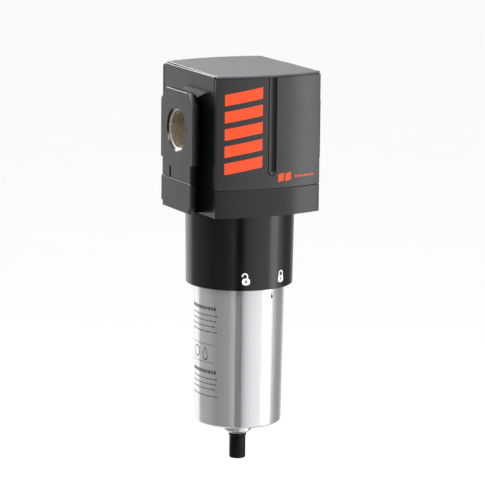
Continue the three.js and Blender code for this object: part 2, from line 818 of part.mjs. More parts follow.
function makeKnob() {
  const body = turned([
    [knobOutlet, knobFoot],
    [knobRadius - knobChamfer, knobFoot],
    [knobRadius, knobFoot + knobChamfer],
    [knobRadius, knobTop],
    [drainBore, knobTop],
    [drainBore, knobBoreFoot],
    [knobOutlet, knobBoreFoot],
  ], medium);
  const flute = disc(fluteRadius, knobFoot - 1, knobTop - flutePlain, hexagonal);
  const flutes = [];
  for (let i = 0; i < knobFlutes; i += 1) {
    const angle = (i * 2 * Math.PI) / knobFlutes;
    flutes.push([knobRadius * Math.cos(angle), knobRadius * Math.sin(angle)]);
  }
  return cut(body, copies(flute, flutes));
}

function makeStrainer() {
  const top = drainFoot + strainerHeight;
  const facets = 4 * strainerSlots;
  const body = tube(strainerRadius - strainerWall, strainerRadius, drainFoot, top, facets);
  const halfSlot = strainerSlotWidth / 2;
  const slots = [];
  for (let i = 0; i < strainerSlots; i += 1) {
    const reach = strainerRadius + 1;
    const slot = box(-reach, reach, -halfSlot, halfSlot, drainFoot + strainerMargin, top - strainerMargin);
    slots.push(slot.rotate([0, 0, (i * 180) / strainerSlots]));
  }
  return cut(body, join(...slots));
}

// ---------- assembly ----------
const filter = new THREE.Group();
const head = new THREE.Group();
const cartridge = new THREE.Group();
const bowl = new THREE.Group();
const drain = new THREE.Group();

const cover = makeCover();
head.add(
  part('head_casting', makeHeadCasting(), blackPaint),
  part('collar_casting', makeCollarCasting(), blackPaint),
  part('front_cover', cover, blackPlastic),
  part('rear_cover', cover.rotate([0, 0, 180]), blackPlastic),
  part('top_plate', makeTopPlate(), greyPlate),
  part('body_seal', makeBodySeal(), blackRubber),
);
screwPlaces().forEach(([x, y], i) => {
  head.add(part(`body_screw_${i + 1}`, makeBodyScrew(x, y), zincSteel));
});
cartridge.add(
  part('swirl_ring', makeSwirlRing(), naturalPlastic),
  part('element_gasket', makeElementGasket(), blackRubber),
  part('element_top_cap', makeElementCap(ductRadius, elementTop - capThickness, 1), blackPlastic),
  part('filter_element', makeFilterElement(), whiteMedia),
  part('element_core', makeElementCore(), zincSteel),
  part('element_bottom_cap', makeElementCap(studRadius + gap, elementLower - gap, -1), blackPlastic),
  part('baffle', makeBaffle(), blackPlastic),
  part('centre_stud', makeCentreStud(), zincSteel),
  part('retainer_nut', makeRetainerNut(), brass),
);
bowl.add(
  part('bowl', makeBowl(), bareAluminium),
  part('bowl_seal', ringSeal(bowlSealRadius, bowlSealSection, bowlSealZ), blackRubber),
);
drain.add(
  part('drain_housing', makeDrainHousing(), naturalPlastic),
  part('drain_seal', makeDrainSeal(), blackRubber),
  part('drain_lock_nut', makeLockNut(), blackPlastic),
  part('drain_strainer', makeStrainer(), zincSteel),
  part('jet_cap', makeJetCap(), brass),
  part('lever_pin', makeLeverPin(), zincSteel),
  part('pilot_lever', makeLever(), naturalPlastic),
  part('lever_pad', makeLeverPad(), blackRubber),
  part('float', makeFloat(), whiteMedia),
  part('drain_stem', makeDrainStem(), brass),
  part('stem_seal', makeStemSeal(), blackRubber),
  part('drain_knob', makeKnob(), blackPlastic),
);
bowl.add(drain);
filter.add(head, cartridge, bowl);

export default filter;
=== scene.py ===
"""The looks of the compressed air filter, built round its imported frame.

Solids are made in millimetres and handed over in metres. +Z is up, air flows along +X and the front is -Y.
"""

import json
import math

import bmesh
import bpy
from mathutils import Matrix, Vector


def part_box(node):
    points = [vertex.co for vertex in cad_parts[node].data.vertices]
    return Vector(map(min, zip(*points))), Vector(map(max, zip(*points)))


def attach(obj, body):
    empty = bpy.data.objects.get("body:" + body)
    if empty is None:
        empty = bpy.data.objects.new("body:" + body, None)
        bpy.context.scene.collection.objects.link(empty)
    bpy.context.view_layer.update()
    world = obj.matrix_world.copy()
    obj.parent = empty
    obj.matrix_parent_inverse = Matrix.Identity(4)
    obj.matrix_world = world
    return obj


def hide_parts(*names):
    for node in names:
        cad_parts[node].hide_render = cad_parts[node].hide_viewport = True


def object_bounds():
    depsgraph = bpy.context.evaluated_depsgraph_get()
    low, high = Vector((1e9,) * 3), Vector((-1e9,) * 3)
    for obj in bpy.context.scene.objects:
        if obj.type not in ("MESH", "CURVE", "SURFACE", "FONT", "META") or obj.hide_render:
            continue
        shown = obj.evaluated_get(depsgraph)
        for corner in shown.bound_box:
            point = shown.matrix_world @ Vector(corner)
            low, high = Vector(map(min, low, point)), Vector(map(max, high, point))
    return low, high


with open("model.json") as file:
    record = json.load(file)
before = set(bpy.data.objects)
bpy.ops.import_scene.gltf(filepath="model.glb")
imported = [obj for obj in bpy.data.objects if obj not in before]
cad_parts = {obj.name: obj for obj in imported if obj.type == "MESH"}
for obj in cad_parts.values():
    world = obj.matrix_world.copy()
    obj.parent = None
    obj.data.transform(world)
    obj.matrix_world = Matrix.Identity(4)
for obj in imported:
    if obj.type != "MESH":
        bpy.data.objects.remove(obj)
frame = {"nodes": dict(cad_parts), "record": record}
cad_low, cad_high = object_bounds()

# ---------- sizes ----------
MM = 0.001


def box_mm(node):
    """Lowest and highest corner of a node, in millimetres."""
    low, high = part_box(node)
    return low / MM, high / MM


head_high = box_mm("head_casting")[1]
collar_low, collar_high = box_mm("collar_casting")
cover_low, cover_high = box_mm("front_cover")
plate_low, plate_high = box_mm("top_plate")
bowl_low, bowl_high = box_mm("bowl")
nut_low, nut_high = box_mm("drain_lock_nut")
knob_low, knob_high = box_mm("drain_knob")
stud_low, stud_high = box_mm("centre_stud")
gasket_low, gasket_high = box_mm("element_gasket")

# The gap between two pieces, a hair's margin, and how far a tool or a joined solid overlaps
GAP = 0.3
WELD = 0.05
OVER = 1

# Nearer points are merged and smaller faces dissolved, in a new solid and in a rounded one
MERGE, SLIVER = 1e-4, 1e-5
SOFT_MERGE, SOFT_SLIVER = 2e-3, 0.02
FLAT_DEGREES = 0.4

# Body
HALF_WIDTH = cover_high.x
FACE_BULGE = 7
HALF_DEPTH = -cover_low.y - FACE_BULGE
COVER_SIDE = 3
CASTING_HALF_DEPTH = HALF_DEPTH - COVER_SIDE - GAP
BODY_TOP = head_high.z
COVER_PART = cover_low.z - GAP
BASE_HEIGHT = 21.4
BODY_BOTTOM = COVER_PART - BASE_HEIGHT
LEDGE_TOP = cover_high.z
RIM_INSET = 1.2
PLATE_SIDE_FRONT = 0.8
PLATE_SIDE_REAR = 3.6
GROOVE_WIDTH = 7.4
GROOVE_DEPTH = 2.9
GROOVE_RISE = 10.2
COVER_WALL = 2.6
COVER_RIB = 14
COVER_ROUNDING = 0.35
PLATE_ROUNDING = 0.4
CAST_ROUNDING = 0.4
SIDE_BAND = 1.5

# Flanges and ports
FLANGE_REACH = head_high.x
FLANGE_WIDTH = 56.6
FLANGE_TOP = 30.6
FLANGE_PLATE = 5
DOVETAIL = 5.2
CHAMFER_Y = 9.2
CHAMFER_Z = 10.2
CLAMP_NOTCH = 3.4
CLAMP_NOTCH_HEIGHT = 14
SLIT_WIDTH = 2.2
SLIT_Y = 11
SLIT_HEIGHT = 8.6
SLIT_DEPTH = 2.4
FOOT_RISE = 3
FOOT_WIDTH = 52
FOOT_REACH = collar_high.x
FOOT_NOTCH = 2.4
FOOT_NOTCH_HEIGHT = 4.2
FLANGE_FOOT = COVER_PART + FOOT_RISE
PORT_MINOR = 15.15
PORT_MAJOR = 16.62
PORT_PITCH = 2.309
PORT_LEAD = 2.2
PORT_PAINT = 0.9
THREAD_LENGTH = 19
THREAD_SINK = 0.4
THREAD_START = 0.2
THREAD_FADE_TURNS = 0.75
THREAD_ROOM = 0.47
THREAD_TIP = 0.08
SPIGOT_WALL = 3.6
DUCT_RADIUS = -gasket_low.x - SPIGOT_WALL
PORT_WEB = 5.5
PORT_FLOOR = 6.8
POCKET_WALL = 6
PORT_WALL = 8

# Collar and bowl
BOWL_TOP_RADIUS = 35.6
BOWL_FOOT_RADIUS = 34.1
BOWL_WALL = 4.6
BOWL_INNER = BOWL_TOP_RADIUS - BOWL_WALL
BOWL_CLEARANCE = 0.7
COLLAR_WALL = 5.8
COLLAR_BORE = BOWL_TOP_RADIUS + BOWL_CLEARANCE
COLLAR_FOOT = collar_low.z
COLLAR_FOOT_RADIUS = COLLAR_BORE + COLLAR_WALL
COLLAR_DRAFT = 0.8
BOWL_SHOWN = 112.2
BOWL_FOOT = COLLAR_FOOT - BOWL_SHOWN
BOWL_TOP = bowl_high.z
BOWL_FLOOR = BOWL_FOOT + 4.2
BOWL_FOOT_ROUND = 1.2
BOWL_GROOVE_DEPTH = 2.25
BOWL_GROOVE_TOP = BOWL_TOP - 4.5
BOWL_GROOVE_FOOT = BOWL_TOP - 7.5
NECK_RADIUS = 11.2
NECK_TOP = BOWL_FOOT - 3.6
NECK_FOOT = NECK_TOP - 4.6
NECK_END = bowl_low.z
NECK_END_RADIUS = 7.2
DRAIN_BORE = 4.8
ANNULUS_RADIUS = BOWL_INNER + 2
ANNULUS_TOP = -PORT_MINOR - PORT_FLOOR
SPIGOT_RADIUS = DUCT_RADIUS + SPIGOT_WALL
SPIGOT_FOOT = gasket_high.z + GAP
COLLAR_CEILING = BOWL_TOP + 2
BODY_SEAL_RADIUS = COLLAR_BORE + 3.3
BODY_SEAL_HALF = 1
LUG_COUNT = 3
LUG_SPAN = 24
LUG_FIRST = 90
LUG_REACH = 3.3
LUG_TOP = COLLAR_FOOT + 20.2
LUG_HEIGHT = 6
UNLOCK_TURN = 42.4
SLOT_MARGIN = 1
SLOT_ROOM = 0.4
SCREW_X = HALF_WIDTH - 9
SCREW_Y = HALF_DEPTH - 9
SCREW_RADIUS = 3
SCREW_HEAD_RADIUS = 5
SCREW_HEAD_HEIGHT = 6
SCREW_SINK = 7
SCREW_TIP = ANNULUS_TOP
SOCKET_RADIUS = 2.5
SOCKET_DEPTH = 3
SOCKET_CHAMFER = 0.6
STUD_RADIUS = stud_high.x
STUD_PITCH = 1.0
STUD_THREADED = 12
STUD_THREAD_DEPTH = 0.45

# Drain knob
KNOB_RADIUS = knob_high.x
KNOB_OUTLET = 1.6
KNOB_FLOOR = 4.3
KNOB_FLUTES = 16
FLUTE_POINTS = 14
FLUTE_ROWS = 6
FLUTE_DEPTH = 0.3
FLUTE_TOP = knob_high.z - 2
KNOB_FOOT = ((0.8, 0), (0.35, 0.12), (0.1, 0.4))
KNOB_ROUND = 0.85

# Marks on the outside, as angles from +X and heights
BOWL_CHANNEL_ANGLE = -117
BOWL_CHANNEL_WIDTH = 4.2
BOWL_CHANNEL_DEPTH = 0.45
BOWL_SEAM_ANGLE = -66
BOWL_SEAM_WIDTH = 0.6
BOWL_SEAM_DEPTH = 0.25
BOWL_MARK_ROUNDING = 0.08
OPEN_LOCK_ANGLE = -109.3
CLOSED_LOCK_ANGLE = -66.5
LOCK_Z = -114.9
LABEL_ANGLE = -147
POINTER_ANGLE = -70.5
POINTER_Z = -130.9
PRINT_PROUD = 0.06
PRINT_ROOT = 0.05

# Facets round a full circle
FINE = 192
MEDIUM = 96
COARSE = 48
SEAL_FACETS = 144
SECTION_FACETS = 20
SECTOR_DEGREES = 2
FILLET_SHARE = 0.49


# ---------- shape helpers ----------
def linked(name, data):
    """A new object in the scene."""
    made = bpy.data.objects.new(name, data)
    bpy.context.scene.collection.objects.link(made)
    return made


def drop_slivers(bm, size):
    """Dissolves the faces and edges under a size, with any edge or point left over from them."""
    bmesh.ops.dissolve_degenerate(bm, edges=bm.edges, dist=size)
    bmesh.ops.delete(bm, geom=[edge for edge in bm.edges if edge.is_wire], context="EDGES")
    bmesh.ops.delete(bm, geom=[vertex for vertex in bm.verts if not vertex.link_faces], context="VERTS")


def closed(points, faces):
    """A closed solid from points and faces, with repeated points merged and its faces pointing out."""
    mesh = bpy.data.meshes.new("solid")
    mesh.from_pydata([tuple(p) for p in points], [], faces)
    bm = bmesh.new()
    bm.from_mesh(mesh)
    bmesh.ops.remove_doubles(bm, verts=bm.verts, dist=MERGE)
    drop_slivers(bm, SLIVER)
    bmesh.ops.recalc_face_normals(bm, faces=bm.faces)
    bm.to_mesh(mesh)
    bm.free()
    return linked("solid", mesh)


def loft(rings, wrap=False):
    """A solid through rings of equally many points. With wrap, the last ring meets the first."""
    count = len(rings[0])
    points = [point for ring in rings for point in ring]
    faces = []
    for k in range(len(rings) if wrap else len(rings) - 1):
        here = k * count
        there = ((k + 1) % len(rings)) * count
        for i in range(count):
            j = (i + 1) % count
            faces.append((here + i, here + j, there + j, there + i))
    if not wrap:
        last = (len(rings) - 1) * count
        faces.append(tuple(range(count - 1, -1, -1)))
        faces.append(tuple(range(last, last + count)))
    return closed(points, faces)


def filleted(corners, steps=5):
    """A closed outline whose corners are (across, up) or (across, up, fillet radius)."""
    points = []
    count = len(corners)
    for i, corner in enumerate(corners):
        here = Vector(corner[:2])
        if len(corner) < 3:
            points.append((here.x, here.y))
            continue
        before = Vector(corners[i - 1][:2]) - here
        after = Vector(corners[(i + 1) % count][:2]) - here
        half = before.angle(after) / 2
        reach = min(corner[2] / math.tan(half), FILLET_SHARE * before.length,
                    FILLET_SHARE * after.length)
        radius = reach * math.tan(half)
        middle = (before.normalized() + after.normalized()).normalized()
        centre = here + middle * (radius / math.sin(half))
        start = here + before.normalized() * reach - centre
        end = here + after.normalized() * reach - centre
        first = math.atan2(start.y, start.x)
        turn = math.atan2(start.cross(end), start.dot(end))
        for k in range(steps + 1):
            angle = first + turn * k / steps
            points.append((centre.x + radius * math.cos(angle), centre.y + radius * math.sin(angle)))
    return points


def turned(outline, facets=FINE):
    """A solid turned about Z from a closed outline of (radius, z) points."""
    rings = []
    for k in range(facets):
        angle = 2 * math.pi * k / facets
        cos, sin = math.cos(angle), math.sin(angle)
        rings.append([(radius * cos, radius * sin, z) for radius, z in outline])
    return loft(rings, wrap=True)


def disc(radius, low, high, facets=MEDIUM):
    return prism([(radius * math.cos(2 * math.pi * k / facets), radius * math.sin(2 * math.pi * k / facets))
                  for k in range(facets)], low, high)


def tube(inner, outer, low, high, facets=FINE):
    return turned([(inner, low), (outer, low), (outer, high), (inner, high)], facets)


def prism(outline, low, high):
    return loft([[(x, y, low) for x, y in outline], [(x, y, high) for x, y in outline]])


def block(x0, x1, y0, y1, z0, z1):
    return prism([(x0, y0), (x1, y0), (x1, y1), (x0, y1)], z0, z1)


def ring_sector(inner, outer, centre, span, low, high):
    """A wedge of a ring, with its centre and span in degrees."""
    steps = max(4, round(span / SECTOR_DEGREES))
    angles = [math.radians(centre - span / 2 + span * k / steps) for k in range(steps + 1)]
    outline = [(outer * math.cos(a), outer * math.sin(a)) for a in angles]
    outline += [(inner * math.cos(a), inner * math.sin(a)) for a in reversed(angles)]
    return prism(outline, low, high)


def placed(piece, turn=None, offset=(0, 0, 0)):
    """Turns a solid by a matrix, then shifts it."""
    if turn is not None:
        piece.data.transform(turn)
    piece.data.transform(Matrix.Translation(offset))
    if turn is not None and turn.determinant() < 0:
        piece.data.flip_normals()
    return piece


def twin(piece, turn):
    """A second solid, turned by a matrix."""
    return placed(linked("solid", piece.data.copy()), turn)


ABOUT_Z = Matrix.Rotation(math.pi, 4, "Z")
MIRROR_X = Matrix.Scale(-1, 4, (1, 0, 0))
Z_TO_X = Matrix.Rotation(math.pi / 2, 4, "Y")


def settle(piece):
    """Applies the modifiers to the mesh."""
    bpy.context.view_layer.update()
    whole = piece.evaluated_get(bpy.context.evaluated_depsgraph_get())
    mesh = bpy.data.meshes.new_from_object(whole)
    piece.modifiers.clear()
    piece.data = mesh
    return piece


def combined(base, tools, operation):
    for tool in tools:
        modifier = base.modifiers.new("shape", "BOOLEAN")
        modifier.operation = operation
        modifier.solver = "MANIFOLD"
        modifier.object = tool
    settle(base)
    for tool in tools:
        bpy.data.objects.remove(tool)
    return base


def join(base, *tools):
    return combined(base, tools, "UNION")


def cut(base, *tools):
    return combined(base, tools, "DIFFERENCE")


def soften(piece, width, where, segments=3, angle=32):
    """Rounds outward edges that turn by more than an angle in degrees and whose middle passes a test."""
    bm = bmesh.new()
    bm.from_mesh(piece.data)
    bmesh.ops.remove_doubles(bm, verts=bm.verts, dist=SOFT_MERGE)
    bmesh.ops.dissolve_limit(bm, angle_limit=math.radians(FLAT_DEGREES), verts=bm.verts,
                              edges=bm.edges)
    edges = []
    for edge in bm.edges:
        if len(edge.link_faces) == 2 and edge.calc_face_angle_signed(0) > math.radians(angle):
            if where((edge.verts[0].co + edge.verts[1].co) / 2):
                edges.append(edge)
    bmesh.ops.bevel(bm, geom=edges, offset=width, offset_type="OFFSET", segments=segments, profile=0.5,
                    affect="EDGES", clamp_overlap=False)
    drop_slivers(bm, SOFT_SLIVER)
    bm.to_mesh(piece.data)
    bm.free()
    return piece


def bow(x, half, bulge):
    """How far a bowed face stands out at x."""
    radius = (half * half + bulge * bulge) / (2 * bulge)
    return math.sqrt(radius * radius - x * x) - radius + bulge


def bowed_line(x0, x1, y, bulge, side, steps=72):
    """Points from x0 to x1 on a bowed face that stands out to the side given by +1 or -1."""
    half = max(abs(x0), abs(x1))
    return [(x0 + (x1 - x0) * k / steps, y + side * bow(x0 + (x1 - x0) * k / steps, half, bulge))
            for k in range(steps + 1)]


def on_body_outline(place):
    """Whether a place lies on the body's straight sides or its bowed faces."""
    if abs(place.x) > HALF_WIDTH - WELD:
        return True
    return abs(place.y) > HALF_DEPTH + bow(place.x, HALF_WIDTH, FACE_BULGE) - WELD


def finished(piece, name, body, finish, node=None, angle=38, extra=()):
    """Names a solid, scales it to metres, gives it its finish and lets it ride on its body."""
    piece.name = name
    piece.data.name = name
    piece.data.transform(Matrix.Scale(MM, 4))
    piece.data.materials.clear()
    for material in (finish, *extra):
        piece.data.materials.append(material)
    piece.data.shade_smooth()
    piece.data.set_sharp_from_angle(angle=math.radians(angle))
    weighted = piece.modifiers.new("normals", "WEIGHTED_NORMAL")
    weighted.keep_sharp = True
    if node:
        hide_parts(node)
    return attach(piece, body)


def detailed(piece, node, body, slot, extra=()):
    """Finishes a solid that stands for a CAD node."""
    return finished(piece, node + "_detail", body, SLOT_FINISH[slot], node, extra=extra)


# ---------- materials ----------
class Finish:
    """A Principled material with nodes that add its surface detail."""

    def __init__(self, name, colour, roughness, metallic=0.0, specular=0.5):
        self.material = bpy.data.materials.new(name)
        self.material.use_nodes = True
        self.nodes = self.material.node_tree.nodes
        self.links = self.material.node_tree.links
        self.shader = self.nodes["Principled BSDF"]
        for name, value in (("Base Color", (*colour, 1)), ("Roughness", roughness), ("Metallic", metallic),
                            ("Specular IOR Level", specular)):
            self.shader.inputs[name].default_value = value
        self.colour = colour
        self.roughness = roughness
        self.place = self.nodes.new("ShaderNodeTexCoord").outputs["Object"]

    def feed(self, socket, value):
        """Links a socket to another one, or gives it a plain value."""
        if isinstance(value, bpy.types.NodeSocket):
            self.links.new(value, socket)
        else:
            socket.default_value = value

    def add(self, kind, **inputs):
        """A new node. Its inputs are given by name, with _ for a space."""
        node = self.nodes.new(kind)
        for name, value in inputs.items():
            self.feed(node.inputs[name.replace("_", " ")], value)
        return node

    def math(self, operation, first, second=0.0):
        node = self.nodes.new("ShaderNodeMath")
        node.operation = operation
        self.feed(node.inputs[0], first)
        self.feed(node.inputs[1], second)
        return node.outputs[0]

    def noise(self, scale, detail=3.0, place=None, roughness=0.55):
        node = self.add("ShaderNodeTexNoise", Vector=place or self.place, Scale=scale, Detail=detail,
                        Roughness=roughness)
        return node.outputs["Fac"]

    def drawn(self, around, along):
        """Coordinates round the Z axis and along it, for marks that follow a turned or drawn wall."""
        split = self.add("ShaderNodeSeparateXYZ", Vector=self.place)
        angle = self.math("ARCTAN2", split.outputs["Y"], split.outputs["X"])
        x = self.math("MULTIPLY", self.math("COSINE", angle), around)
        y = self.math("MULTIPLY", self.math("SINE", angle), around)
        z = self.math("MULTIPLY", split.outputs["Z"], along)
        return self.add("ShaderNodeCombineXYZ", X=x, Y=y, Z=z).outputs["Vector"]

    def range(self, value, low, high, start=0.3, end=0.7):
        node = self.add("ShaderNodeMapRange", Value=value, From_Min=start, From_Max=end, To_Min=low,
                        To_Max=high)
        return node.outputs["Result"]

    def mottle(self, fac, spread):
        """Varies the colour about its own value by a share of it."""
        mix = self.nodes.new("ShaderNodeMix")
        mix.data_type = "RGBA"
        self.links.new(fac, mix.inputs["Factor"])
        # the colour sockets come after the float and vector ones
        mix.inputs[6].default_value = (*[c * (1 - spread) for c in self.colour], 1)
        mix.inputs[7].default_value = (*[min(1, c * (1 + spread)) for c in self.colour], 1)
        self.links.new(mix.outputs[2], self.shader.inputs["Base Color"])

    def vary_roughness(self, fac, spread):
        self.links.new(self.range(fac, self.roughness - spread, self.roughness + spread),
                       self.shader.inputs["Roughness"])

    def bump(self, height, depth, strength=1.0):
        node = self.add("ShaderNodeBump", Height=height, Strength=strength, Distance=depth)
        if self.shader.inputs["Normal"].is_linked:
            self.links.new(self.shader.inputs["Normal"].links[0].from_socket, node.inputs["Normal"])
        self.links.new(node.outputs["Normal"], self.shader.inputs["Normal"])


def moulded(name, colour, roughness, grain=2600, depth=0.00003, specular=0.4, spread=0.12):
    """Moulded plastic: a fine even grain with slow changes of gloss."""
    finish = Finish(name, colour, roughness, specular=specular)
    slow = finish.noise(scale=38, detail=4)
    finish.mottle(slow, spread)
    finish.vary_roughness(slow, spread=0.05)
    finish.bump(finish.noise(scale=grain, detail=2), depth)
    return finish.material


def painted_casting():
    """Satin black paint over a casting: orange peel with a finer grain on it."""
    finish = Finish("black_paint", (0.003, 0.003, 0.0034), roughness=0.20, specular=0.55)
    slow = finish.noise(scale=30, detail=5)
    finish.mottle(slow, spread=0.2)
    finish.vary_roughness(slow, spread=0.05)
    finish.bump(finish.noise(scale=420, detail=3), depth=0.00003, strength=0.5)
    finish.bump(finish.noise(scale=3400, detail=2), depth=0.00001, strength=0.5)
    return finish.material


def drawn_aluminium():
    """Bright satin aluminium with fine lines along the bowl."""
    finish = Finish("bare_aluminium", (0.71, 0.72, 0.74), roughness=0.20, metallic=0.84)
    lines = finish.noise(scale=1.0, detail=6, place=finish.drawn(around=95, along=9), roughness=0.75)
    broad = finish.noise(scale=1.0, detail=3, place=finish.drawn(around=6, along=2))
    finish.mottle(lines, spread=0.12)
    fine_gloss = finish.range(lines, low=-0.05, high=0.06)
    broad_gloss = finish.range(broad, low=0.16, high=0.22)
    finish.links.new(finish.math("ADD", fine_gloss, broad_gloss), finish.shader.inputs["Roughness"])
    finish.bump(lines, depth=0.00008, strength=0.6)
    finish.shader.inputs["Anisotropic"].default_value = 0.65
    finish.shader.inputs["Anisotropic Rotation"].default_value = 0.25
    tangent = finish.nodes.new("ShaderNodeTangent")
    tangent.direction_type = "RADIAL"
    tangent.axis = "Z"
    finish.links.new(tangent.outputs["Tangent"], finish.shader.inputs["Tangent"])
    return finish.material


def metal(name, colour, roughness, scale=700, spread=0.1, depth=0.00003, metallic=1.0):
    """Turned, plated or machined metal with fine marks."""
    finish = Finish(name, colour, roughness, metallic=metallic)
    marks = finish.noise(scale=scale, detail=5)
    finish.mottle(finish.noise(scale=60, detail=4), spread)
    finish.vary_roughness(marks, spread=0.09)
    finish.bump(marks, depth, 0.7)
    return finish.material


def soft_rubber():
    finish = Finish("rubber_seal", (0.012, 0.012, 0.012), roughness=0.62, specular=0.35)
    finish.mottle(finish.noise(scale=90, detail=4), spread=0.3)
    finish.vary_roughness(finish.noise(scale=240, detail=3), spread=0.08)
    finish.bump(finish.noise(scale=1800, detail=3), depth=0.00003)
    return finish.material


def pleated_felt():
    """Filter felt: short matted fibres and slight yellowing."""
    finish = Finish("filter_media", (0.80, 0.775, 0.70), roughness=0.92, specular=0.2)
    fibres = finish.noise(scale=1500, detail=8, roughness=0.75)
    finish.mottle(finish.noise(scale=70, detail=6), spread=0.12)
    finish.vary_roughness(fibres, spread=0.06)
    finish.bump(fibres, depth=0.0002)
    finish.shader.inputs["Sheen Weight"].default_value = 0.25
    return finish.material


def printed_ink(name, colour, specular=0.3):
    """Pad-printed ink: nearly even, with a slight weave in its thickness."""
    finish = Finish(name, colour, roughness=0.5, specular=specular)
    finish.mottle(finish.noise(scale=260, detail=4), spread=0.04)
    finish.vary_roughness(finish.noise(scale=900, detail=3), spread=0.06)
    finish.bump(finish.noise(scale=2200, detail=2), depth=0.00001)
    return finish.material


SLOT_FINISH = {
    "black_paint": painted_casting(),
    "cover_plastic": moulded("cover_plastic", (0.006, 0.006, 0.0068), roughness=0.28, specular=0.75),
    "plate_plastic": moulded("plate_plastic", (0.045, 0.045, 0.056), roughness=0.24, specular=0.55,
                             spread=0.3),
    "bare_aluminium": drawn_aluminium(),
    "zinc_steel": metal("zinc_steel", (0.66, 0.67, 0.68), roughness=0.32),
    "brass_fitting": metal("brass_fitting", (0.72, 0.55, 0.27), roughness=0.30),
    "rubber_seal": soft_rubber(),
    "filter_media": pleated_felt(),
    "natural_plastic": moulded("natural_plastic", (0.76, 0.745, 0.68), roughness=0.45),
    "inner_plastic": moulded("inner_plastic", (0.035, 0.035, 0.038), roughness=0.5, grain=1800),
    "knob_plastic": moulded("knob_plastic", (0.002, 0.002, 0.0022), roughness=0.30, specular=0.2),
}
MACHINED_PORT = metal("machined_port", (0.80, 0.74, 0.63), roughness=0.22, scale=300, spread=0.14,
                      depth=0.000005, metallic=0.85)
ORANGE_INK = printed_ink("orange_ink", (0.80, 0.068, 0.010))
WHITE_INK = printed_ink("white_ink", (0.86, 0.86, 0.86))
DARK_INK = printed_ink("dark_ink", (0.045, 0.047, 0.052))


# ---------- castings ----------
def flange_plan(inset):
    """Flange outline in (Y, Z), with chamfered top corners and clamp notches near its foot."""
    y = FLANGE_WIDTH / 2 - inset
    top = FLANGE_TOP - inset
    notch = y - CLAMP_NOTCH
    notch_top = FLANGE_FOOT + CLAMP_NOTCH_HEIGHT
    return [(-notch, FLANGE_FOOT), (notch, FLANGE_FOOT), (notch, notch_top), (y, notch_top),
            (y, top - CHAMFER_Z), (y - CHAMFER_Y, top), (-y + CHAMFER_Y, top), (-y, top - CHAMFER_Z),
            (-y, notch_top), (-notch, notch_top)]


def foot_plan(inset):
    """Outline in (Y, Z) of the flange block on the lower casting."""
    y = FOOT_WIDTH / 2 - inset
    low = BODY_BOTTOM + GAP
    step = BODY_BOTTOM + FOOT_NOTCH_HEIGHT
    top = FLANGE_FOOT - GAP
    return [(-y + FOOT_NOTCH, low), (y - FOOT_NOTCH, low), (y - FOOT_NOTCH, step), (y, step),
            (y, top), (-y, top), (-y, step), (-y + FOOT_NOTCH, step)]


def dovetail_block(plan, reach):
    """Stands a (Y, Z) outline out from the wall to a reach, narrower behind its straight plate."""
    root = HALF_WIDTH - OVER
    stations = [(root, DOVETAIL), (reach - FLANGE_PLATE, 0), (reach, 0)]
    return loft([[(x, y, z) for y, z in plan(inset)] for x, inset in stations])


def both_sides(piece):
    return [piece, twin(piece, ABOUT_Z)]


def port_bore(start):
    """The bore of a port along +X, from a start to past the flange face, with its mouth chamfered."""
    mouth = PORT_MINOR + PORT_LEAD
    outline = [(0, start), (PORT_MINOR, start), (PORT_MINOR, FLANGE_REACH - PORT_LEAD),
               (mouth, FLANGE_REACH), (mouth, FLANGE_REACH + OVER), (0, FLANGE_REACH + OVER)]
    return placed(turned(outline, FINE), Z_TO_X)


def thread_cutter():
    """The space between the threads of a port, as one helical wedge along +X."""
    base = PORT_MINOR - THREAD_SINK
    first = PORT_MINOR - THREAD_START
    half = THREAD_ROOM * PORT_PITCH
    tip = THREAD_TIP * PORT_PITCH
    rings = []
    turns = THREAD_LENGTH / PORT_PITCH
    steps = round(turns * MEDIUM)
    start = FLANGE_REACH + PORT_PITCH - THREAD_LENGTH
    for k in range(steps + 1):
        angle = 2 * math.pi * k / MEDIUM
        along = start + PORT_PITCH * k / MEDIUM
        fade = min(1, k / (THREAD_FADE_TURNS * MEDIUM))
        crest = first + (PORT_MAJOR - PORT_MINOR + THREAD_START) * fade
        cos, sin = math.cos(angle), math.sin(angle)
        section = [(base, along - half), (crest, along - tip), (crest, along + tip), (base, along + half)]
        rings.append([(z, radius * cos, radius * sin) for radius, z in section])
    return loft(rings)


def screw_places():
    return [(SCREW_X, SCREW_Y), (-SCREW_X, SCREW_Y), (-SCREW_X, -SCREW_Y), (SCREW_X, -SCREW_Y)]


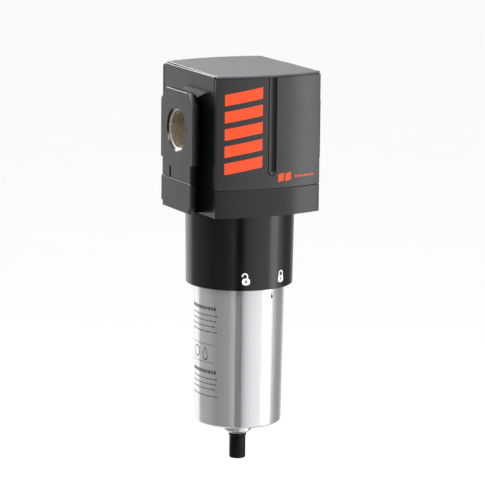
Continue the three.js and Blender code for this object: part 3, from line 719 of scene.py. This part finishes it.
def head_casting():
    foot = COVER_PART + GAP
    body = block(-HALF_WIDTH, HALF_WIDTH, -CASTING_HALF_DEPTH, CASTING_HALF_DEPTH, foot, BODY_TOP)
    join(body, *both_sides(dovetail_block(flange_plan, FLANGE_REACH)))
    slit = block(FLANGE_REACH - SLIT_DEPTH, FLANGE_REACH + OVER, SLIT_Y - SLIT_WIDTH / 2,
                 SLIT_Y + SLIT_WIDTH / 2, FLANGE_FOOT - OVER, FLANGE_FOOT + SLIT_HEIGHT)
    rim = HALF_WIDTH - RIM_INSET
    tray = block(-rim, rim, -HALF_DEPTH, HALF_DEPTH, LEDGE_TOP, BODY_TOP + OVER)
    annulus = disc(ANNULUS_RADIUS, foot - OVER, ANNULUS_TOP, FINE)
    cut(body, slit, twin(slit, MIRROR_X), tray, annulus)
    join(body, disc(SPIGOT_RADIUS, SPIGOT_FOOT, ANNULUS_TOP + OVER))
    pocket_x = HALF_WIDTH - POCKET_WALL
    pocket = block(-pocket_x, pocket_x, PORT_MINOR + PORT_WALL, HALF_DEPTH, ANNULUS_TOP + POCKET_WALL,
                   LEDGE_TOP - POCKET_WALL)
    drop_radius = (ANNULUS_RADIUS - SPIGOT_RADIUS) / 2
    drop = placed(disc(drop_radius - WELD, ANNULUS_TOP - OVER, 0, COARSE), None,
                  (-SPIGOT_RADIUS - drop_radius, 0, 0))
    stud_hole = disc(STUD_RADIUS + GAP, 0, stud_high.z + OVER, COARSE)
    holes = [placed(disc(SCREW_RADIUS + GAP, foot - OVER, SCREW_TIP + OVER, COARSE), None, (x, y, 0))
             for x, y in screw_places()]
    cut(body, *both_sides(pocket), disc(DUCT_RADIUS, SPIGOT_FOOT - OVER, 0), drop, stud_hole, *holes)
    soften(body, CAST_ROUNDING, lambda place: abs(place.x) > HALF_WIDTH - SIDE_BAND)
    inlet = placed(port_bore(DUCT_RADIUS + PORT_WEB), ABOUT_Z)
    cut(body, inlet, port_bore(-DUCT_RADIUS))
    thread = thread_cutter()
    cut(body, thread, twin(thread, ABOUT_Z))
    corners = body.data.vertices
    marked = []
    for face in body.data.polygons:
        reach = max(math.hypot(corners[i].co.y, corners[i].co.z) for i in face.vertices)
        bare = DUCT_RADIUS < abs(face.center.x) < FLANGE_REACH - PORT_PAINT and reach < PORT_MAJOR + WELD
        marked.append(1 if bare else 0)
    piece = detailed(body, "head_casting", "head", "black_paint", extra=(MACHINED_PORT,))
    piece.data.polygons.foreach_set("material_index", marked)


def body_plan(x, y, bulge):
    """Plan of the whole body: straight sides, bowed front and back."""
    return bowed_line(-x, x, -y, bulge, -1) + bowed_line(x, -x, y, bulge, 1)


def bayonet_slots():
    inner = COLLAR_BORE - OVER
    reach = BOWL_TOP_RADIUS + LUG_REACH + SLOT_ROOM
    span = LUG_SPAN + 2 * SLOT_MARGIN
    low = LUG_TOP - LUG_HEIGHT - GAP
    slots = []
    for i in range(LUG_COUNT):
        locked = LUG_FIRST + i * 360 / LUG_COUNT
        unlocked = locked - UNLOCK_TURN
        middle = (locked + unlocked) / 2
        slots.append(ring_sector(inner, reach, unlocked, span, COLLAR_FOOT - OVER, LUG_TOP + GAP))
        slots.append(ring_sector(inner, reach, middle, span + UNLOCK_TURN, low, LUG_TOP + GAP))
    return slots


def collar_casting():
    base = prism(body_plan(HALF_WIDTH, HALF_DEPTH, FACE_BULGE), BODY_BOTTOM, COVER_PART)
    foot = dovetail_block(foot_plan, FOOT_REACH)
    cut(foot, block(0, HALF_WIDTH + GAP, -FOOT_WIDTH, FOOT_WIDTH, COVER_PART, FLANGE_FOOT + OVER))
    inner, root = COLLAR_BORE - OVER, BODY_BOTTOM + OVER
    skirt = turned([(inner, COLLAR_FOOT), (COLLAR_FOOT_RADIUS, COLLAR_FOOT),
                    (COLLAR_FOOT_RADIUS + COLLAR_DRAFT, root), (inner, root)])
    join(base, *both_sides(foot), skirt)
    groove = tube(BODY_SEAL_RADIUS - BODY_SEAL_HALF - GAP, BODY_SEAL_RADIUS + BODY_SEAL_HALF + GAP,
                  COVER_PART - 2 * BODY_SEAL_HALF - GAP, COVER_PART + OVER)
    holes = []
    for x, y in screw_places():
        hole = disc(SCREW_RADIUS + GAP, BODY_BOTTOM - OVER, COVER_PART + OVER, COARSE)
        sink = disc(SCREW_HEAD_RADIUS + GAP, BODY_BOTTOM - OVER, BODY_BOTTOM + SCREW_SINK, COARSE)
        holes += [placed(hole, None, (x, y, 0)), placed(sink, None, (x, y, 0))]
    cut(base, disc(COLLAR_BORE, COLLAR_FOOT - OVER, COLLAR_CEILING, FINE),
        disc(ANNULUS_RADIUS, COLLAR_CEILING - OVER, COVER_PART + OVER, FINE), groove, *holes,
        *bayonet_slots())
    rim = COLLAR_FOOT_RADIUS - WELD
    soften(base, CAST_ROUNDING, lambda place: on_body_outline(place)
           or place.z < COLLAR_FOOT + WELD and math.hypot(place.x, place.y) > rim)
    detailed(base, "collar_casting", "head", "black_paint")


# ---------- covers and top plate ----------
def cover():
    """The front cover. Its back is straight and hollow, with a rib behind the groove."""
    back = -CASTING_HALF_DEPTH - GAP
    foot = cover_low.z
    shell = prism(bowed_line(-HALF_WIDTH, HALF_WIDTH, -HALF_DEPTH, FACE_BULGE, -1)
                  + [(HALF_WIDTH, back), (-HALF_WIDTH, back)], foot, LEDGE_TOP)
    inner = HALF_WIDTH - COVER_WALL
    hollow = prism(bowed_line(-inner, inner, -HALF_DEPTH + COVER_WALL, FACE_BULGE, -1)
                   + [(inner, back + OVER), (-inner, back + OVER)],
                   foot + COVER_WALL, LEDGE_TOP - COVER_WALL)
    cut(hollow, block(-COVER_RIB / 2, COVER_RIB / 2, cover_low.y - OVER, back + 2, foot, LEDGE_TOP))
    radius = (GROOVE_WIDTH ** 2 / 4 + GROOVE_DEPTH ** 2) / (2 * GROOVE_DEPTH)
    centre_y = cover_low.y - radius + GROOVE_DEPTH
    end = COVER_PART + GROOVE_RISE + GROOVE_WIDTH / 2
    steps = 12
    bullet = [(0, end - radius)]
    for t in range(1, steps + 1):
        angle = t * math.pi / (2 * steps)
        bullet.append((radius * math.sin(angle), end - radius * math.cos(angle)))
    bullet += [(radius, LEDGE_TOP + OVER), (0, LEDGE_TOP + OVER)]
    groove = placed(turned(bullet, MEDIUM), None, (0, centre_y, 0))
    cut(shell, hollow, groove)
    corner = HALF_WIDTH - WELD
    return soften(shell, COVER_ROUNDING, lambda place: on_body_outline(place)
                  and (abs(place.x) > corner or place.z < foot + WELD))


def covers():
    front = cover()
    rear = twin(front, ABOUT_Z)
    detailed(front, "front_cover", "head", "cover_plastic")
    detailed(rear, "rear_cover", "head", "cover_plastic")


def top_plate():
    front = HALF_WIDTH - PLATE_SIDE_FRONT
    rear = HALF_WIDTH - PLATE_SIDE_REAR
    outline = (bowed_line(-front, front, -HALF_DEPTH, FACE_BULGE, -1)
               + bowed_line(rear, -rear, HALF_DEPTH, FACE_BULGE, 1))
    plate = prism(outline, plate_low.z, plate_high.z)
    rim = HALF_WIDTH - RIM_INSET - GAP
    side = block(-HALF_WIDTH - OVER, -rim, -CASTING_HALF_DEPTH - GAP, HALF_DEPTH + OVER,
                 LEDGE_TOP - OVER, BODY_TOP + OVER)
    cut(plate, side, twin(side, MIRROR_X))
    soften(plate, PLATE_ROUNDING, lambda place: True)
    detailed(plate, "top_plate", "head", "plate_plastic")


# ---------- bowl, lock nut and knob ----------
def bowl():
    shell = turned(filleted([
        (DRAIN_BORE, NECK_END),
        (NECK_END_RADIUS, NECK_END, 0.4),
        (NECK_RADIUS, NECK_FOOT, 0.8),
        (NECK_RADIUS, NECK_TOP, 1.2),
        (BOWL_FOOT_RADIUS - 1.6, BOWL_FOOT - 0.1, 2.5),
        (BOWL_FOOT_RADIUS, BOWL_FOOT + BOWL_FOOT_ROUND, 1.0),
        (BOWL_TOP_RADIUS, COLLAR_FOOT),
        (BOWL_TOP_RADIUS, BOWL_GROOVE_FOOT),
        (BOWL_TOP_RADIUS - BOWL_GROOVE_DEPTH, BOWL_GROOVE_FOOT, 0.3),
        (BOWL_TOP_RADIUS - BOWL_GROOVE_DEPTH, BOWL_GROOVE_TOP, 0.3),
        (BOWL_TOP_RADIUS, BOWL_GROOVE_TOP),
        (BOWL_TOP_RADIUS, BOWL_TOP, 0.5),
        (BOWL_INNER, BOWL_TOP, 0.5),
        (BOWL_INNER, BOWL_FLOOR, 3),
        (DRAIN_BORE, BOWL_FLOOR),
    ]))
    lugs = [ring_sector(BOWL_TOP_RADIUS - OVER, BOWL_TOP_RADIUS + LUG_REACH, LUG_FIRST + i * 360 / LUG_COUNT,
                        LUG_SPAN, LUG_TOP - LUG_HEIGHT, LUG_TOP) for i in range(LUG_COUNT)]
    join(shell, *lugs)
    lean = math.atan2(BOWL_TOP_RADIUS - BOWL_FOOT_RADIUS, BOWL_SHOWN)
    marks = []
    for angle, width, depth in ((BOWL_CHANNEL_ANGLE, BOWL_CHANNEL_WIDTH, BOWL_CHANNEL_DEPTH),
                                (BOWL_SEAM_ANGLE, BOWL_SEAM_WIDTH, BOWL_SEAM_DEPTH)):
        floor = BOWL_FOOT_RADIUS - depth
        bar = block(floor, floor + 6, -width / 2, width / 2, -4, BOWL_SHOWN + 3)
        stand = Matrix.Translation((0, 0, BOWL_FOOT)) @ Matrix.Rotation(lean, 4, "Y")
        marks.append(placed(bar, Matrix.Rotation(math.radians(angle), 4, "Z") @ stand))
    cut(shell, *marks)
    wall = BOWL_FOOT_RADIUS - OVER
    soften(shell, BOWL_MARK_ROUNDING, lambda place: place.z < COLLAR_FOOT + 2
           and math.hypot(place.x, place.y) > wall, segments=2, angle=50)
    detailed(shell, "bowl", "bowl_unit", "bare_aluminium")


def lock_nut():
    nut = turned(filleted([
        (DRAIN_BORE, nut_low.z),
        (KNOB_RADIUS - 0.1, nut_low.z, 0.3),
        (nut_high.x, nut_high.z - 1.1, 0.5),
        (nut_high.x, nut_high.z, 0.3),
        (DRAIN_BORE, nut_high.z),
    ]), MEDIUM)
    detailed(nut, "drain_lock_nut", "bowl_unit", "knob_plastic")


def knob():
    """The knob: shallow round flutes below a plain band, and a bore that takes the drain's shank."""
    around = KNOB_FLUTES * FLUTE_POINTS
    fluted = FLUTE_TOP - knob_low.z - KNOB_ROUND
    profile = [(KNOB_RADIUS - inset, knob_low.z + rise) for inset, rise in KNOB_FOOT]
    profile += [(KNOB_RADIUS, knob_low.z + KNOB_ROUND + fluted * k / FLUTE_ROWS)
                for k in range(FLUTE_ROWS + 1)]
    profile += [(KNOB_RADIUS, FLUTE_TOP + 0.6), (KNOB_RADIUS, knob_high.z - 0.3),
                (KNOB_RADIUS - 0.1, knob_high.z - 0.08), (KNOB_RADIUS - 0.35, knob_high.z)]
    rings = []
    for radius, z in profile:
        depth = FLUTE_DEPTH if z <= FLUTE_TOP else 0
        ring = []
        for k in range(around):
            angle = 2 * math.pi * k / around
            here = radius - depth * max(0.0, math.cos(KNOB_FLUTES * angle)) ** 2
            ring.append((here * math.cos(angle), here * math.sin(angle), z))
        rings.append(ring)
    body = loft(rings)
    cut(body, disc(DRAIN_BORE, knob_low.z + KNOB_FLOOR, knob_high.z + OVER),
        disc(KNOB_OUTLET, knob_low.z - OVER, knob_high.z, COARSE))
    detailed(body, "drain_knob", "knob_unit", "knob_plastic")


# ---------- seals, screws and stud ----------
def seal_ring(node, body):
    """A round seal in the space of its node."""
    low, high = box_mm(node)
    section = (high.z - low.z) / 2 / math.sin(math.pi / 3)
    radius = high.x - section
    middle = (low.z + high.z) / 2
    angles = [2 * math.pi * k / SECTION_FACETS for k in range(SECTION_FACETS)]
    outline = [(radius + section * math.cos(a), middle + section * math.sin(a)) for a in angles]
    detailed(turned(outline, SEAL_FACETS), node, body, "rubber_seal")


def body_screw(index, x, y):
    """A socket screw with a rounded head, a chamfered socket and a rounded tip."""
    node = f"body_screw_{index}"
    low, high = box_mm(node)
    head_top = low.z + SCREW_HEAD_HEIGHT
    shank = turned(filleted([
        (0, low.z),
        (SCREW_HEAD_RADIUS, low.z, 0.5),
        (SCREW_HEAD_RADIUS, head_top, 0.2),
        (SCREW_RADIUS, head_top, 0.3),
        (SCREW_RADIUS, high.z, 0.6),
        (0, high.z),
    ]), COARSE)
    socket = disc(SOCKET_RADIUS, low.z - OVER, low.z + SOCKET_DEPTH, 6)
    skim = 0.1
    mouth = turned([(0, low.z + SOCKET_CHAMFER), (0, low.z - skim),
                    (SOCKET_RADIUS + SOCKET_CHAMFER, low.z - skim),
                    (SOCKET_RADIUS - skim, low.z + SOCKET_CHAMFER)], COARSE)
    cut(shank, socket, mouth)
    placed(shank, None, (x, y, 0))
    detailed(shank, node, "head", "zinc_steel")


def centre_stud():
    """The stud, with rolled thread rings along both of its ends."""
    root = STUD_RADIUS - STUD_THREAD_DEPTH
    outline = [(0, stud_low.z)]
    z = stud_low.z
    while z < stud_high.z - STUD_PITCH:
        if z < stud_low.z + STUD_THREADED or z > stud_high.z - STUD_THREADED:
            outline += [(root, z + WELD), (STUD_RADIUS, z + STUD_PITCH / 2)]
        z += STUD_PITCH
    outline += [(root, stud_high.z), (0, stud_high.z)]
    detailed(turned(outline, COARSE), "centre_stud", "head", "zinc_steel")


# ---------- printed marks ----------
class Print:
    """Thin marks drawn on a surface as strips between pairs of points."""

    def __init__(self, place):
        self.place = place
        self.points = []
        self.faces = []

    def strip(self, pairs, ring=False):
        """Adds a strip through (outer, inner) pairs of (u, v) points. A ring closes on itself."""
        start = len(self.points)
        for outer, inner in pairs:
            for (u, v), lift in ((outer, PRINT_PROUD), (inner, PRINT_PROUD), (inner, -PRINT_ROOT),
                                 (outer, -PRINT_ROOT)):
                self.points.append(self.place(u, v, lift))
        count = len(pairs)
        for k in range(count if ring else count - 1):
            here = start + 4 * k
            there = start + 4 * ((k + 1) % count)
            for i in range(4):
                j = (i + 1) % 4
                self.faces.append((here + i, here + j, there + j, there + i))
        if not ring:
            last = start + 4 * (count - 1)
            self.faces.append((start + 3, start + 2, start + 1, start))
            self.faces.append((last, last + 1, last + 2, last + 3))

    def bar(self, u0, u1, v0, v1, slant=0.0, steps=1):
        """A bar from u0 to u1 and v0 to v1. With a slant, it climbs from left to right."""
        pairs = []
        for k in range(steps + 1):
            u = u0 + (u1 - u0) * k / steps
            rise = slant * k / steps
            pairs.append(((u, v1 + rise), (u, v0 + rise)))
        self.strip(pairs)

    def dashes(self, u0, u1, v, height, lengths, space):
        """A row of short dashes that ends at u1, with the lengths in turn."""
        u = u1
        turn = 0
        while u - lengths[turn % len(lengths)] > u0:
            length = lengths[turn % len(lengths)]
            self.bar(u - length, u, v - height / 2, v + height / 2, steps=2)
            u -= length + space
            turn += 1

    def path(self, points, width):
        """A line of a given width through points."""
        pairs = []
        for i, here in enumerate(points):
            before = points[max(i - 1, 0)]
            after = points[min(i + 1, len(points) - 1)]
            along = (Vector(after) - Vector(before)).normalized()
            across = Vector((-along.y, along.x)) * width / 2
            pairs.append((tuple(Vector(here) + across), tuple(Vector(here) - across)))
        self.strip(pairs)

    def piece(self, name, body, slot, finish):
        solid = closed(self.points, self.faces)
        return finished(solid, name, body, finish, angle=60)


def on_cover(u, v, lift):
    """A place on the front cover: u across and v up."""
    return (u, -HALF_DEPTH - bow(u, HALF_WIDTH, FACE_BULGE) - lift, v)


def on_round(centre, top_radius, foot_radius, top, foot):
    """Places on a tapered round wall, with u in millimetres round from a centre angle and v up."""
    def place(u, v, lift):
        share = (v - foot) / (top - foot)
        radius = foot_radius + (top_radius - foot_radius) * share
        angle = math.radians(centre) + u / radius
        return ((radius + lift) * math.cos(angle), (radius + lift) * math.sin(angle), v)
    return place


def cover_graphic():
    """Generic slanted bars with a small lozenge and a row of dashes."""
    marks = Print(on_cover)
    left, right = -38.5, -8.5
    count, low, high = 5, -29.5, 37.0
    pitch = (high - low) / count
    inked = 0.66 * pitch
    for k in range(count):
        foot = low + pitch * k
        marks.bar(left, right, foot, foot + inked, slant=5.0, steps=14)
    for u0, u1, v0, v1 in ((5.5, 10.5, -37.2, -31.2), (11.8, 16.8, -36.9, -30.9)):
        marks.bar(u0, u1, v0, v1, slant=1.2, steps=4)
    marks.dashes(18, 38.5, -33.6, height=1.5, lengths=(2.6, 1.7, 3.3, 2.1), space=0.8)
    marks.piece("front_cover_print", "head", "cover_plastic", ORANGE_INK)


def oval(across, up, half_width, half_height, power=1.0, steps=28):
    """Points round an oval. A power under 1 squares it."""
    points = []
    for k in range(steps):
        cos = math.cos(2 * math.pi * k / steps)
        sin = math.sin(2 * math.pi * k / steps)
        points.append((across + half_width * math.copysign(abs(cos) ** power, cos),
                       up + half_height * math.copysign(abs(sin) ** power, sin)))
    return points


def teardrop(across, up, half_width, half_height, steps=28):
    """Points round a drop with its tip up."""
    points = []
    for k in range(steps):
        t = 2 * math.pi * k / steps
        points.append((across + half_width * math.sin(t) * math.sin(t / 2), up + half_height * math.cos(t)))
    return points


def padlock(name, angle, shift, left_leg):
    """A padlock mark: a rounded body with a keyhole, and a shackle whose left leg may stand clear."""
    round_wall = on_round(angle, COLLAR_FOOT_RADIUS + COLLAR_DRAFT, COLLAR_FOOT_RADIUS, BODY_BOTTOM + OVER,
                          COLLAR_FOOT)
    marks = Print(lambda u, v, lift: round_wall(u, v + LOCK_Z, lift))
    outside = oval(0, -1.9, half_width=3.1, half_height=2.75, power=0.72)
    keyhole = oval(0, -1.8, half_width=0.75, half_height=1.15)
    marks.strip(list(zip(outside, keyhole)), ring=True)
    radius, middle, right_leg = 1.95, 2.5, 0.6
    angles = [math.radians(t) for t in range(0, 181, 15)]
    arc = [(shift + radius * math.cos(a), middle + radius * math.sin(a)) for a in angles]
    marks.path([(shift + radius, right_leg)] + arc + [(shift - radius, left_leg)], width=1.05)
    marks.piece(name, "head", "black_paint", WHITE_INK)


def bowl_wall(angle):
    return on_round(angle, BOWL_TOP_RADIUS, BOWL_FOOT_RADIUS, COLLAR_FOOT, BOWL_FOOT + BOWL_FOOT_ROUND)


def bowl_label():
    """Generic text-like rows, two rules, and a ring and a drop between them."""
    marks = Print(bowl_wall(LABEL_ANGLE))
    left = -34.0
    words = (3.4, 2.2, 4.1, 2.8, 1.9)
    ragged = (1.4, 0.6, -0.8, 1.2)
    for title, rows in ((-141.5, (-147.0, -151.4, -155.8, -160.2)),
                        (-192.5, (-198.0, -202.2, -206.4, -212.0))):
        marks.dashes(left, 0.0, title, height=2.6, lengths=(2.1, 1.8, 2.3, 1.6), space=0.8)
        for index, row in enumerate(rows):
            lengths = words[index:] + words[:index]
            marks.dashes(left, ragged[index], row, height=0.85, lengths=lengths, space=1.2)
    half_rule = 0.17
    for rule in (-170.6, -185.0):
        marks.bar(left, -1.6, rule - half_rule, rule + half_rule, steps=24)
    middle = -177.8
    ring = [oval(-23.0, middle, radius, radius) for radius in (4.6, 3.9)]
    marks.strip(list(zip(*ring)), ring=True)
    drop = [teardrop(-11.0, middle - 0.4, 3.6 * scale, 5.6 * scale) for scale in (1.0, 0.8)]
    marks.strip(list(zip(*drop)), ring=True)
    marks.piece("bowl_print", "bowl_unit", "bare_aluminium", DARK_INK)


def bowl_pointer():
    """The triangle that points at the padlocks."""
    wall = bowl_wall(POINTER_ANGLE)
    marks = Print(lambda u, v, lift: wall(u, v + POINTER_Z, lift))
    tip, foot, half = 0.12, 1.35, 2.0
    marks.strip([((tip, half), (-tip, half)), ((foot, -half), (-foot, -half))])
    marks.piece("bowl_pointer", "bowl_unit", "bare_aluminium", DARK_INK)


def printed_marks():
    cover_graphic()
    padlock("open_lock_mark", OPEN_LOCK_ANGLE, -0.9, 2.1)
    padlock("closed_lock_mark", CLOSED_LOCK_ANGLE, 0.0, 0.6)
    bowl_label()
    bowl_pointer()


# ---------- carried-over nodes ----------
def dress_cad_nodes():
    """Gives every CAD node its slot's finish."""
    slot_of = {part["node"]: part["material_slot"] for part in frame["record"]["subparts"]}
    for name, node in frame["nodes"].items():
        finish = SLOT_FINISH[slot_of[name]]
        for slot in node.material_slots:
            slot.material = finish


# ---------- stage, lights and camera ----------
FLOOR_HEIGHT = cad_low.z - 0.45


def floor():
    """A wide pale floor below the hanging filter."""
    half = 9.0
    corners = [(x * half, y * half, FLOOR_HEIGHT) for x, y in ((-1, -1), (1, -1), (1, 1), (-1, 1))]
    mesh = bpy.data.meshes.new("floor")
    mesh.from_pydata(corners, [], [(0, 1, 2, 3)])
    ground = linked("floor", mesh)
    finish = Finish("pale_floor", (0.86, 0.86, 0.86), roughness=0.8, specular=0.1)
    finish.mottle(finish.noise(scale=3, detail=3), spread=0.01)
    mesh.materials.append(finish.material)


def area_light(name, azimuth, distance, height, width, tall, radiance):
    """A soft panel that faces the filter. Azimuth 0 is the front and 90 the right."""
    data = bpy.data.lights.new(name, "AREA")
    data.shape = "RECTANGLE"
    data.size = width
    data.size_y = tall
    data.energy = radiance * math.pi * width * tall
    light = linked(name, data)
    turn = math.radians(azimuth)
    light.location = (distance * math.sin(turn), -distance * math.cos(turn), height)
    light.rotation_mode = "QUATERNION"
    light.rotation_quaternion = (Vector((0, 0, PANEL_AIM)) - light.location).to_track_quat("-Z", "Y")
    light.visible_camera = False


# Size of the ring of boards, the strength of its emission, and its radiance by azimuth in degrees
SURROUND_RADIUS = 1.0
SURROUND_TOP = 0.30
SURROUND_LIFT = 0.001
SURROUND_FULL = 2.0
SURROUND = ((-180, 1.2), (-153, 1.2), (-146, 0.40), (-110, 0.30), (-86, 0.15), (-50, 0.22), (-36, 0.65),
            (-33, 0.02), (-19, 0.02), (-15, 0.55), (0, 0.85), (18, 1.05), (36, 1.1), (72, 0.95), (82, 0.28),
            (114, 0.20), (126, 0.62), (166, 0.62), (176, 1.2), (180, 1.2))


def surround():
    """Bright and dark studio boards round and under the filter. Only reflections see them."""
    foot = FLOOR_HEIGHT + SURROUND_LIFT
    steps = 180
    points = []
    for k in range(steps):
        turn = 2 * math.pi * k / steps
        x, y = SURROUND_RADIUS * math.sin(turn), -SURROUND_RADIUS * math.cos(turn)
        points += [(x, y, foot), (x, y, SURROUND_TOP)]
    points.append((0, 0, foot))
    faces = [(2 * k, 2 * k + 1, (2 * k + 3) % (2 * steps), (2 * k + 2) % (2 * steps)) for k in range(steps)]
    faces += [(2 * k, (2 * k + 2) % (2 * steps), 2 * steps) for k in range(steps)]
    mesh = bpy.data.meshes.new("surround")
    mesh.from_pydata(points, [], faces)
    ring = linked("surround", mesh)
    boards = Finish("surround_boards", (0, 0, 0), roughness=1.0, specular=0)
    split = boards.add("ShaderNodeSeparateXYZ", Vector=boards.place)
    azimuth = boards.math("ARCTAN2", split.outputs["X"], boards.math("MULTIPLY", split.outputs["Y"], -1))
    share = boards.math("ADD", boards.math("DIVIDE", azimuth, 2 * math.pi), 0.5)
    ramp = boards.add("ShaderNodeValToRGB", Fac=share)
    stops = ramp.color_ramp.elements
    for index, (degrees, radiance) in enumerate(SURROUND):
        place = (degrees + 180) / 360
        if index == 0:
            stop = stops[0]
        elif index == len(SURROUND) - 1:
            stop = stops[-1]
        else:
            stop = stops.new(place)
        stop.position = place
        level = radiance / SURROUND_FULL
        stop.color = (level, level, level, 1)
    boards.links.new(ramp.outputs["Color"], boards.shader.inputs["Emission Color"])
    boards.shader.inputs["Emission Strength"].default_value = SURROUND_FULL
    mesh.materials.append(boards.material)
    for kind in ("camera", "diffuse", "transmission", "shadow"):
        setattr(ring, f"visible_{kind}", False)


# Name, azimuth, distance, height, the panel's width and its own height, and radiance
PANELS = (("key_panel", 52, 0.95, -0.05, 0.34, 1.1, 1.7), ("port_panel", -78, 0.95, 0.46, 0.4, 0.34, 7.0),
          ("rim_panel", -172, 0.95, 0.52, 1.0, 0.24, 11.0), ("top_panel", 60, 0.8, 1.5, 0.9, 0.9, 5.0))
PANEL_AIM = -0.1


def lights():
    for panel in PANELS:
        area_light(*panel)
    world = bpy.data.worlds.new("studio")
    world.use_nodes = True
    background = world.node_tree.nodes["Background"]
    background.inputs["Color"].default_value = (1, 1, 1, 1)
    background.inputs["Strength"].default_value = 1.1
    bpy.context.scene.world = world


def camera():
    """A long lens from the front left, a little above the middle of the filter."""
    azimuth, elevation, roll = (math.radians(a) for a in (-26.84, 11.06, 0.62))
    distance = 2.54925
    aim_right, aim_up = 0.00143, -0.09207
    back = Vector((math.sin(azimuth) * math.cos(elevation), -math.cos(azimuth) * math.cos(elevation),
                   math.sin(elevation)))
    level = Vector((math.cos(azimuth), math.sin(azimuth), 0))
    upright = back.cross(level)
    right = level * math.cos(roll) + upright * math.sin(roll)
    up = upright * math.cos(roll) - level * math.sin(roll)
    data = bpy.data.cameras.new("camera")
    data.lens = 242.01
    data.sensor_width = 36
    data.clip_start = 0.05
    data.clip_end = 60
    view = linked("camera", data)
    place = Matrix((right, up, back)).transposed().to_4x4()
    place.translation = right * aim_right + up * aim_up + back * distance
    view.matrix_world = place
    bpy.context.scene.camera = view
    bpy.context.scene.view_settings.view_transform = "Standard"


# ---------- assembly ----------
head_casting()
collar_casting()
covers()
top_plate()
bowl()
lock_nut()
knob()
for seal, rides_on in (("body_seal", "head"), ("bowl_seal", "bowl_unit"), ("drain_seal", "bowl_unit")):
    seal_ring(seal, rides_on)
for number, (screw_x, screw_y) in enumerate(screw_places(), 1):
    body_screw(number, screw_x, screw_y)
centre_stud()
printed_marks()
dress_cad_nodes()
floor()
surround()
lights()
camera()
